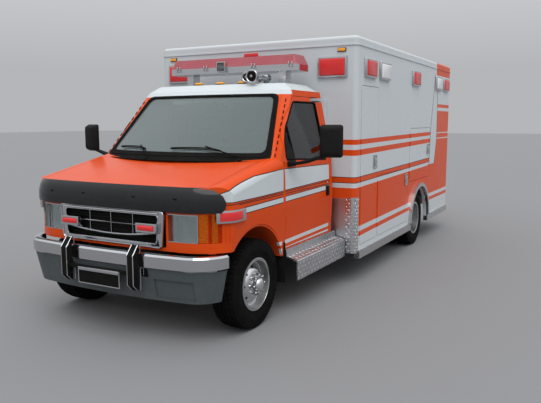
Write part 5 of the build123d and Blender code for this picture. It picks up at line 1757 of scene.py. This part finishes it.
@dataclass
class BoxLamps(Assembly):
    """Lamps on the box: bright bezels with ribbed lenses set in them."""

    bezel: float = 0.017
    depth: float = 0.029
    corner_lamp: Point = (2.238, 0.325, 0.215)
    side_lamp: Point = (2.240, 0.345, 0.200)
    scene_lamp: Point = (2.240, 0.350, 0.200)
    tails: Line = ((0.930, 1.180), (0.930, 0.970), (1.100, 1.180))
    markers: tuple[tuple[Wall, float], ...] = (
        (Wall.FRONT, -1.050), (Wall.FRONT, 1.050), (Wall.REAR, -1.050), (Wall.REAR, -0.130), (Wall.REAR, 0.0),
        (Wall.REAR, 0.130), (Wall.REAR, 1.050))

    def housing(self, width: float, tall: float, depth: float) -> Piece:
        """Bezel with a pocket, modelled about station 0 and facing forward.

        Args:
            width, tall, depth: its outer size.

        Returns:
            The bezel.
        """
        block = slab((-width / 2, -depth, -tall / 2), (width / 2, -0.0003, tall / 2), 0)
        return pressed(block, self.bezel, depth * 0.6, 0.004, (1 - 0.014 / width, 1 - 0.014 / tall))

    def pane(self, width: float, tall: float, depth: float) -> Piece:
        """Domed lens that fills a bezel's pocket.

        Args:
            width, tall, depth: the bezel's outer size.

        Returns:
            The lens.
        """
        edge = self.bezel + 0.0075
        block = slab((edge - width / 2, -depth - 0.004, edge - tall / 2),
                     (width / 2 - edge, -depth * 0.42, tall / 2 - edge), 0)
        chosen(block, (0, -1, 0))
        bpy.ops.mesh.inset(thickness=0.010)
        bpy.ops.transform.translate(value=(0, -0.005, 0))
        bpy.ops.object.mode_set(mode="OBJECT")
        return bevelled(block, 0.003)

    def cluster(self, rows: Iterable[tuple], depth: float) -> tuple[Piece, Piece]:
        """Bezels and lenses of several lamps.

        Args:
            rows: wall, place along it, height, width and tall.
            depth: how far they stand out.

        Returns:
            The joined bezels and the joined lenses.
        """
        bezels, panes = [], []
        for wall, along, height, width, tall in rows:
            bezels.append(on_wall(self.housing(width, tall, depth), wall, along, height))
            panes.append(on_wall(self.pane(width, tall, depth), wall, along, height))
        return joined(bezels), joined(panes)

    def fender_plate(self, side: int, outer: float, inner: float, low: float, high: float,
                     trim: int) -> Piece:
        """Plate along a fender's curve.

        Args:
            side: 1 on the left, -1 on the right.
            outer, inner: how far its two faces stand out.
            low, high: its lower and upper edge.
            trim: how many points it is shorter at each end.

        Returns:
            The new object.
        """
        row = [*((x, nose_station(x)) for x in (0.916, 0.935, 0.955, 0.975, 0.990, 1.001)),
               (BODY_HALF, -0.34), (BODY_HALF, -0.28), (BODY_HALF, -0.228)]
        row = row[trim:len(row) - trim]
        ways = [nose_way(x) if x < 1.002 else Vector((1.0, 0.0)) for x, _ in row]
        plan = [(side * (x + way.x * outer), s + way.y * outer, low) for (x, s), way in zip(row, ways)]
        back = [(side * (x + way.x * inner), s + way.y * inner, low) for (x, s), way in zip(row, ways)]
        return prism(plan + back[::-1], (0, 0, high - low), 0.003)

    def nose(self) -> tuple[list[Piece], list[Piece]]:
        """Warning lamps in the grille and on the fenders.

        Returns:
            Their bezels and their lenses.
        """
        bezels, panes = [], []
        for _, side in SIDES:
            for make, pieces in ((self.housing, bezels), (self.pane, panes)):
                piece = make(0.204, 0.088, 0.050)
                piece.data.transform(Matrix.Translation((side * 0.398, -0.6293, 0.894)))
                pieces.append(piece)
            bezels.append(self.fender_plate(side, 0.0215, 0.0003, 0.942, 1.038, 0))
            panes.append(self.fender_plate(side, 0.0258, 0.010, 0.957, 1.023, 1))
        return bezels, panes

    def build(self) -> None:
        """Every lamp on the box, the grille and the fenders."""
        bezels, panes = self.cluster(
            [(Wall.FRONT, -0.953, *self.corner_lamp), (Wall.FRONT, 0.953, *self.corner_lamp),
             *((wall, along, *self.side_lamp) for wall in (Wall.LEFT, Wall.RIGHT)
               for along in (1.972, 3.740, 5.435)),
             (Wall.REAR, -0.953, *self.corner_lamp), (Wall.REAR, 0.953, *self.corner_lamp)], self.depth)
        nose_bezels, nose_panes = self.nose()
        self.keep(joined([bezels, *nose_bezels]), "warning_bezels", "vehicle", CHROME)
        self.keep(joined([panes, *nose_panes]), "warning_lenses", "vehicle", RED, ("warning_lights",))
        bezels, panes = self.cluster([(wall, along, *self.scene_lamp) for wall in (Wall.LEFT, Wall.RIGHT)
                                      for along in (2.445, 4.975)], self.depth)
        self.keep(bezels, "scene_bezels", "vehicle", CHROME)
        self.keep(panes, "scene_lenses", "vehicle", CLEAR, ("scene_lights",))
        bezels, panes = self.cluster([(Wall.REAR, side * along, height, 0.150, 0.190)
                                      for along, height in self.tails for side in (1, -1)], 0.0215)
        middle = slab((-0.085, MODULE_FRONT - 0.020, 2.387), (0.085, MODULE_FRONT - 0.001, 2.424), 0.006, 3)
        self.keep(bezels, "tail_bezels", "vehicle", CHROME)
        self.keep(joined([panes, middle]), "tail_lenses", "vehicle", RED, ("tail_lamps",))
        bases, domes = [], []
        for wall, along in self.markers:
            base = slab((-0.048, -0.006, -0.020), (0.048, -0.0003, 0.020), 0.003, 1)
            dome = slab((-0.042, -0.0195, -0.0145), (0.042, -0.005, 0.0145), 0.006, 3)
            bases.append(on_wall(base, wall, along, 2.405))
            domes.append(on_wall(dome, wall, along, 2.405))
        for x in (-0.260, 0.0, 0.260):
            bases.append(slab((x - 0.048, 0.954, 2.0555), (x + 0.048, 1.016, 2.062), 0.003, 1))
            domes.append(slab((x - 0.040, 0.960, 2.0600), (x + 0.040, 1.010, 2.0845), 0.010, 3))
        self.keep(joined(bases), "marker_bases", "vehicle", SEAL)
        self.keep(joined(domes), "marker_domes", "vehicle", AMBER, ("marker_lights",))


@dataclass
class BarTrim(Assembly):
    """Latches and small grille box of the light bar, and the horns' rims with black discs in their bells as
    painted shade.
    """

    front: float = 1.160
    box: Flat = (-0.140, -0.036)

    def build(self) -> None:
        """Box with its slats, pairs of latches, and two horns' rims, with a black disc in each bell as
        painted shade.
        """
        low, high = self.box
        frame_box = slab((low, self.front - 0.034, 2.196), (high, self.front + 0.004, 2.300), 0)
        pressed(frame_box, 0.010, 0.012)
        latches = []
        for x in (-0.640, -0.295, 0.285, 0.700):
            latches += slabs([((x + step - 0.007, self.front - 0.012, 2.222),
                               (x + step + 0.007, self.front, 2.272)) for step in (-0.018, 0.018)])
            latches.append(slab((x - 0.030, self.front - 0.006, 2.214), (x + 0.030, self.front, 2.232),
                                0.002))
        self.keep(joined([frame_box, *latches]), "bar_latches", "vehicle", CHROME)
        slats = slabs([((low + 0.012, self.front - 0.030, foot),
                        (high - 0.012, self.front - 0.022, foot + 0.006))
                       for foot in [2.210 + step * 0.012 for step in range(7)]], 0.001, 1)
        self.keep(joined(slats), "bar_slats", "vehicle", SEAL)
        rims, mouth_shades, ahead = [], [], (0, -1, 0)
        for x, mouth, bell in ((0.430, 0.870, 0.062), (0.330, 0.940, 0.050)):
            place = (x, mouth, 2.121)
            rims.append(turned(((0.0, bell - 0.014), (0.005, bell - 0.008), (0.005, bell - 0.002),
                                (0.0, bell + 0.002), (-0.008, bell - 0.001), (-0.004, bell - 0.014)),
                               place, ahead))
            rims.append(turned(((0.0, 0.0), (0.010, 0.004), (0.008, 0.013), (0.0, 0.016)), place, ahead, 20))
            # Black disc across the bell: painted shade for the horn's hollow.
            mouth_shades.append(turned(((0.0006, 0.0), (0.0030, 0.016), (0.0016, bell - 0.013),
                                  (-0.002, bell - 0.013), (-0.002, 0.0)), place, ahead))
        self.keep(joined(rims), "horn_rims", "vehicle", CHROME)
        self.keep(joined(mouth_shades), "horn_mouth_shades", "vehicle", SEAL)


@dataclass
class BoxTrim(Assembly):
    """Paddle latches and grab rails on the box."""

    def paddle(self, wall: Wall, along: float, height: float, body: str, name: str) -> None:
        """Bright paddle latch in its dished plate.

        Args:
            wall, along, height: its wall and its place there.
            body: the door that carries it.
            name: its name.
        """
        plate = pressed(slab((-0.055, -0.010, -0.075), (0.055, -0.0003, 0.075), 0), 0.010, 0.008)
        lever = slab((-0.034, -0.016, -0.050), (0.034, -0.004, 0.048), 0.005)
        self.keep(on_wall(joined([plate, lever]), wall, along, height), name, body, CHROME)

    def build(self) -> None:
        """Latches and grab rails."""
        for row in ((Wall.LEFT, 2.185, 1.255, "compartment_door_front", "latch_front"),
                    (Wall.LEFT, 3.42, 0.955, "compartment_door_middle", "latch_middle"),
                    (Wall.LEFT, 4.48, 1.300, "compartment_door_upper", "latch_upper"),
                    (Wall.RIGHT, 3.235, 1.250, "side_entry_door", "latch_entry"),
                    (Wall.REAR, 0.075, 1.250, "rear_door_left", "latch_rear_left"),
                    (Wall.REAR, -0.075, 1.250, "rear_door_right", "latch_rear_right")):
            self.paddle(*row)
        for name, side in SIDES:
            path = [(side * 0.86, MODULE_REAR + out, z) for out, z in (
                (0.002, 1.36), (0.055, 1.37), (0.060, 1.45), (0.060, 1.95), (0.055, 2.03), (0.002, 2.04))]
            self.keep(tube(path, 0.0145), f"grab_rail_{name}", "vehicle", CHROME)


@dataclass
class Shield(Assembly):
    """Smoked wind deflector that follows the hood's front edge."""

    half: float = 0.965
    rows: Line = ((1.022, 0.0300), (1.032, 0.0330), (1.060, 0.0335), (1.110, 0.0300), (1.160, 0.0190),
                  (1.196, 0.0040), (1.212, -0.0100))
    thickness: float = 0.005
    columns: int = 44
    pads: tuple[float, ...] = (-0.640, -0.260, 0.260, 0.640)

    def build(self) -> None:
        """Curved sheet with rounded ends, its lip over the lamps' upper edge, on four pads."""
        sheet = []
        for height, out in self.rows:
            share = (height - self.rows[0][0]) / (self.rows[-1][0] - self.rows[0][0])
            shorter = 0.035 * abs(2 * share - 0.9) ** 3 + 0.10 * max(0.0, share - 0.55) ** 1.5
            reach = self.half - shorter
            line = []
            for step in range(self.columns + 1):
                x = reach * sin((step / self.columns - 0.5) * pi)
                way = nose_way(x)
                edge = max(0.0, abs(x) - 0.80) / 0.165
                drop = 0.022 * edge * edge * share
                line.append((x + way.x * out, nose_station(x) + way.y * out, height - drop))
            sheet.append(line)
        piece = settled(modified(grid(sheet), "SOLIDIFY", thickness=self.thickness, offset=-1.0))
        blocks = slabs([((x - 0.020, nose_station(x) - 0.028, 1.080),
                         (x + 0.020, nose_station(x) + 0.004, 1.130)) for x in self.pads])
        self.keep(joined(blocks), "shield_pads", "hood", SEAL)
        self.keep(piece, "wind_shield", "hood", SMOKED, ("hood_deflector",), sharp=50)


@dataclass
class Mirrors(Assembly):
    """Door mirrors: moulded heads, glass and twin arms."""

    centre: Flat = (1.378, 0.580)
    width: float = 0.216
    glass: float = 0.176
    depth: float = 0.076
    height: Flat = (1.378, 1.674)
    turn: float = 14.0

    def build(self) -> None:
        """Both mirrors."""
        x, station = self.centre
        low, high = self.height
        for name, side in SIDES:
            head = slab((side * x - self.width / 2, station - self.depth / 2, low),
                        (side * x + self.width / 2, station + self.depth / 2, high), 0)
            chosen(head, (0, -1, 0))
            bpy.ops.transform.resize(value=(0.72, 1, 0.78))
            bpy.ops.object.mode_set(mode="OBJECT")
            bevelled(head, 0.026, 5)
            back = station + self.depth / 2
            heights = ((low + 0.022, high - 0.075), (high - 0.067, high - 0.022))
            half = self.glass / 2
            panes = slabs([((side * x - half, back - 0.004, foot), (side * x + half, back + 0.0015, top))
                           for foot, top in heights], 0.002, 1)
            for piece in (head, *panes):
                revolved(piece, side * radians(self.turn), (side * x, station, 0), (0, 0, 1))
            arms = [tube([(side * 0.992, foot, 1.322), (side * 1.10, foot - 0.01, 1.330),
                          (side * (x - 0.10), station, low + 0.012),
                          (side * (x - 0.03), station, low + 0.030)], 0.0155) for foot in (0.560, 0.640)]
            foot = slab((side * 0.9885, 0.530, 1.298), (side * 1.006, 0.672, 1.348), 0.006, 3)
            body = f"cab_door_{name}"
            self.keep(joined([head, foot, *arms]), f"mirror_head_{name}", body, BLACK, (f"mirror_{name}",),
                      sharp=40)
            self.keep(joined(panes), f"mirror_glass_{name}", body, CHROME)


@dataclass
class TreadSheets(Assembly):
    """Raised lozenges of the tread plate, and the plain sheets beside it."""

    pitch: float = 0.034
    rise: float = 0.0022

    def lozenges(self, origin: Point, across: Vector, along: Vector, width: float, length: float) -> Piece:
        """Field of lozenges that lie two ways, on one flat plate.

        Args:
            origin: the plate's corner, as X, station and height.
            across, along: the plate's two directions.
            width, length: its size along them.

        Returns:
            The field.
        """
        clear_selection()
        bpy.ops.mesh.primitive_circle_add(vertices=6, radius=1, fill_type="NGON")
        one = bpy.context.object
        one.scale = (self.pitch * 0.43, self.pitch * 0.15, 1)
        bpy.ops.object.transform_apply(scale=True)
        with editing():
            bpy.ops.mesh.extrude_region_move(TRANSFORM_OT_translate={"value": (0, 0, self.rise)})
            bpy.ops.transform.resize(value=(0.75, 0.45, 1))
        other = copied(one)
        half = self.pitch / 2
        one.data.transform(Matrix.Translation((half, half, 0)) @ Matrix.Rotation(pi / 4, 4, "Z"))
        other.data.transform(Matrix.Translation((3 * half, half, 0)) @ Matrix.Rotation(-pi / 4, 4, "Z"))
        pair = joined([one, other])
        lower = copied(pair)
        lower.data.transform(Matrix.Translation((self.pitch, self.pitch, 0)))
        for vertex in lower.data.vertices:
            if vertex.co.x > 4 * half:
                vertex.co.x -= 4 * half
        tile = joined([pair, lower])
        counts = (max(1, int(width / (2 * self.pitch))), max(1, int(length / (2 * self.pitch))))
        for count, offset in zip(counts, ((2 * self.pitch, 0, 0), (0, 2 * self.pitch, 0))):
            modified(tile, "ARRAY", count=count, use_relative_offset=False, use_constant_offset=True,
                     constant_offset_displace=offset)
        stretch = (width / (counts[0] * 2 * self.pitch), length / (counts[1] * 2 * self.pitch))
        normal = across.cross(along)
        place = Matrix((across * stretch[0], along * stretch[1], normal)).transposed().to_4x4()
        tile.data.transform(Matrix.Translation(spot(origin)) @ place)
        return tile

    def build(self) -> None:
        """Lozenges on both boards, both corner guards and the step, and the plain sheets."""
        back, up, left = Vector((0, 1, 0)), Vector((0, 0, 1)), Vector((1, 0, 0))
        slope = Vector((0.100, 0, -0.026)).normalized()
        boards = [self.lozenges((1.1203, 0.484, 0.311), back, up, 1.094, 0.162),
                  self.lozenges((1.0125, 0.484, 0.5125), slope, back, 0.098, 1.094)]
        guards = [self.lozenges((1.112, 1.6037, 0.342), left, up, 0.056, 0.566),
                  self.lozenges((1.2223, 1.664, 0.342), back, up, 0.034, 0.566)]
        curve = [Vector((1.1702, 1.6562)) + 0.0553 * Vector((sin(turn), -cos(turn)))
                 for turn in (0.0, pi / 4, pi / 2)]
        for first, last in zip(curve, curve[1:]):
            run = (last - first).to_3d()
            guards.append(self.lozenges((first.x, first.y, 0.342), run.normalized(), up, run.length, 0.566))
        for pieces, name in ((boards, "board_lozenges"), (guards, "guard_lozenges")):
            self.keep(both(joined(pieces)), name, "vehicle", PLATE)
        step = self.lozenges((-0.95, 5.796, 0.4925), left, back, 1.90, 0.148)
        self.keep(step, "step_lozenges", "vehicle", PLATE)
        sheets = slabs([((side * 0.70, 1.6035, 0.340), (side * 1.1075, 1.6068, 0.905)) for _, side in SIDES],
                       0.001, 1)
        self.keep(joined(sheets), "front_sheets", "vehicle", SMOOTH_ALUMINIUM)


@dataclass
class Seats(Assembly):
    """Cab seats and the bench, with filled cushions."""

    seat_x: float = 0.520
    half: float = 0.244
    voxel: float = 0.012
    bench_voxel: float = 0.018
    bench_top: float = 1.050
    seam: float = 0.0028

    def pad(self, low: Point, high: Point, lean: float, cap: float, voxel: float) -> Piece:
        """Filled cushion, its top moved back.

        Args:
            low, high: corners, as X, station and height.
            lean: how far the top lies behind the foot.
            cap: how far it may swell.
            voxel: size of its faces.

        Returns:
            The cushion.
        """
        block = slab(low, high, 0)
        chosen(block, (0, 0, 1))
        bpy.ops.transform.translate(value=(0, lean, 0))
        bpy.ops.object.mode_set(mode="OBJECT")
        bevelled(block, min(abs(high[1] - low[1]), high[2] - low[2]) * 0.3, 4)
        return stuffed(block, voxel, cap)

    def piping(self, points: Sequence[Point]) -> Piece:
        """Sewn edge along a closed line."""
        return tube(points, 0.0035, cyclic=True, smooth=False)

    def cab(self) -> None:
        """Both cab seats, the second a copy of the first."""
        low, high = node_box("cab_seats")
        x = self.seat_x
        inner, outer = x - self.half, x + self.half
        seat = self.pad((inner, 0.936, 0.858), (outer, 1.330, 0.992), 0, 0.012, self.voxel)
        rest = self.pad((inner + 0.006, 1.306, 0.960), (outer - 0.006, 1.404, 1.552), 0.062, 0.010,
                        self.voxel)
        head = self.pad((x - 0.134, 1.386, 1.590), (x + 0.134, 1.444, min(high.z, 1.740) - 0.008),
                        0.004, 0.008, self.voxel)
        rim = rounded([(inner - 0.006, 0.930), (outer + 0.006, 0.930), (outer + 0.006, 1.336),
                       (inner - 0.006, 1.336)], 0.05)
        edges = [self.piping([(a, s, 0.925) for a, s in rim])]
        for a in (x - 0.125, x + 0.125):
            for line in (((1.302, 1.00), (1.320, 1.20), (1.347, 1.45), (1.358, 1.53)),
                         ((0.940, 0.998), (1.130, 1.004), (1.290, 1.000))):
                edges.append(tube([(a, s, z) for s, z in line], self.seam, smooth=False))
        posts = [tube([(a, 1.424, 1.55), (a, 1.424, 1.61)], 0.006, smooth=False)
                 for a in (x - 0.05, x + 0.05)]
        base = slab((x - 0.180, 1.015, low.z), (x + 0.180, 1.400, 0.862), 0.01)
        rows = ((seat, "seat_cushions", VINYL, True), (rest, "seat_backs", VINYL, True),
                (head, "head_rests", VINYL, True), (joined(edges), "seat_seams", SEAL, False),
                (joined([base, *posts]), "seat_bases", BLACK, False))
        for piece, name, finish, soft in rows:
            pair = both(piece)
            self.keep(pair, name, "vehicle", finish, ("cab_seats",) if soft else (), sharp=60)

    def bench(self) -> None:
        """Bench along the right wall: its packed base below filled cushions."""
        low, high = node_box("bench_seat")
        base = pick(node_copy("bench_seat"))
        with editing():
            bpy.ops.mesh.bisect(plane_co=(0, 0, self.bench_top), plane_no=(0, 0, 1), use_fill=True,
                                clear_outer=True)
        self.keep(base, "bench_base", "vehicle", GREY)
        first, last = low.y - FRONT_AXLE_Y + 0.006, high.y - FRONT_AXLE_Y - 0.006
        voxel = self.bench_voxel
        seat = self.pad((low.x + 0.096, first, 1.054), (high.x - 0.006, last, 1.124), 0, 0.008, voxel)
        rest = self.pad((low.x + 0.006, first, 1.056), (low.x + 0.084, last, 1.544), 0, 0.008, voxel)
        for piece, name in ((seat, "bench_cushion"), (rest, "bench_back")):
            self.keep(piece, name, "vehicle", VINYL, ("bench_seat",), sharp=60)
        seams = []
        for share in (1 / 3, 2 / 3):
            station = first + (last - first) * share
            for ends in (((low.x + 0.094, 1.128), (high.x - 0.010, 1.128)),
                         ((low.x + 0.089, 1.14), (low.x + 0.089, 1.53))):
                seams.append(tube([(x, station, z) for x, z in ends], 0.003, smooth=False))
        self.keep(joined(seams), "bench_seams", "vehicle", SEAL)

    def build(self) -> None:
        """All the seats."""
        self.cab()
        self.bench()


@dataclass
class Studio:
    """Grey floor, soft light and the photograph's camera."""

    eye: Point = (3.385, -6.741, 1.695)
    yaw: float = 28.67
    pitch: float = 7.586
    roll: float = -0.103
    lens: float = 40.07
    key: float = 1.3
    key_from: Point = (0.32, -0.42, 0.85)
    horizon: float = 0.48
    zenith: float = 1.15

    def floor(self) -> None:
        """Wide grey floor that holds the shadow."""
        clear_selection()
        bpy.ops.mesh.primitive_plane_add(size=160, location=(0, 0, 0))
        ground = bpy.context.object
        ground.name = "floor"
        recipe = Recipe("floor_grey")
        colour = recipe.mix(recipe.noise(0.8, 3) * 0.2, (0.24, 0.24, 0.245), (0.21, 0.21, 0.215))
        recipe.surface(Base_Color=colour, Roughness=0.85)
        ground.data.materials.append(recipe.material)

    def camera(self) -> None:
        """Camera at the place and angle that the photograph was taken from."""
        yaw, pitch, roll = radians(self.yaw), radians(self.pitch), radians(self.roll)
        ahead = Vector((-sin(yaw) * cos(pitch), cos(yaw) * cos(pitch), -sin(pitch)))
        across = ahead.cross(Vector((0, 0, 1))).normalized()
        up = across.cross(ahead)
        right = cos(roll) * across + sin(roll) * up
        top = -sin(roll) * across + cos(roll) * up
        data = bpy.data.cameras.new("photo_view")
        data.lens, data.sensor_width = self.lens, 36
        eye = bpy.data.objects.new("photo_view", data)
        bpy.context.collection.objects.link(eye)
        turn = Matrix((right, top, -ahead)).transposed().to_4x4()
        eye.matrix_world = Matrix.Translation(self.eye) @ turn
        bpy.context.scene.camera = eye

    def lamps(self) -> None:
        """One broad soft light from ahead and above, like a bright overcast sky."""
        data = bpy.data.lights.new("key", "SUN")
        data.energy, data.angle = self.key, radians(50)
        lamp = bpy.data.objects.new("key", data)
        bpy.context.collection.objects.link(lamp)
        lamp.rotation_euler = Vector(self.key_from).to_track_quat("Z", "Y").to_euler()

    def world(self) -> None:
        """Pale surroundings, brighter overhead."""
        world = bpy.data.worlds.new("pale_world")
        bpy.context.scene.world = world
        world.use_nodes = True
        tree = world.node_tree
        way = tree.nodes.new("ShaderNodeTexCoord")
        split = tree.nodes.new("ShaderNodeSeparateXYZ")
        tree.links.new(way.outputs["Generated"], split.inputs[0])
        rise = tree.nodes.new("ShaderNodeMapRange")
        tree.links.new(split.outputs[2], rise.inputs[0])
        for socket, value in zip(rise.inputs[1:5], (0.08, 0.75, self.horizon, self.zenith)):
            socket.default_value = value
        back = tree.nodes["Background"]
        tree.links.new(rise.outputs[0], back.inputs["Strength"])
        back.inputs["Color"].default_value = (0.95, 0.97, 1.0, 1)

    def build(self) -> None:
        """Sets the studio up."""
        bpy.context.scene.view_settings.view_transform = "Standard"
        self.floor()
        self.camera()
        self.lamps()
        self.world()


def main() -> None:
    """Builds the looks piece by piece."""
    logging.basicConfig(level=logging.INFO, format="%(message)s")
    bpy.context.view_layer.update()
    Studio().build()
    for assembly in (Shell(), Wheels(), NoseLamps(), Nose(), Screen(), CabSides(), BoxLamps(), BarTrim(),
                     BoxTrim(), Shield(), Mirrors(), TreadSheets(), Seats()):
        assembly.build()


if __name__ == "__main__":
    main()
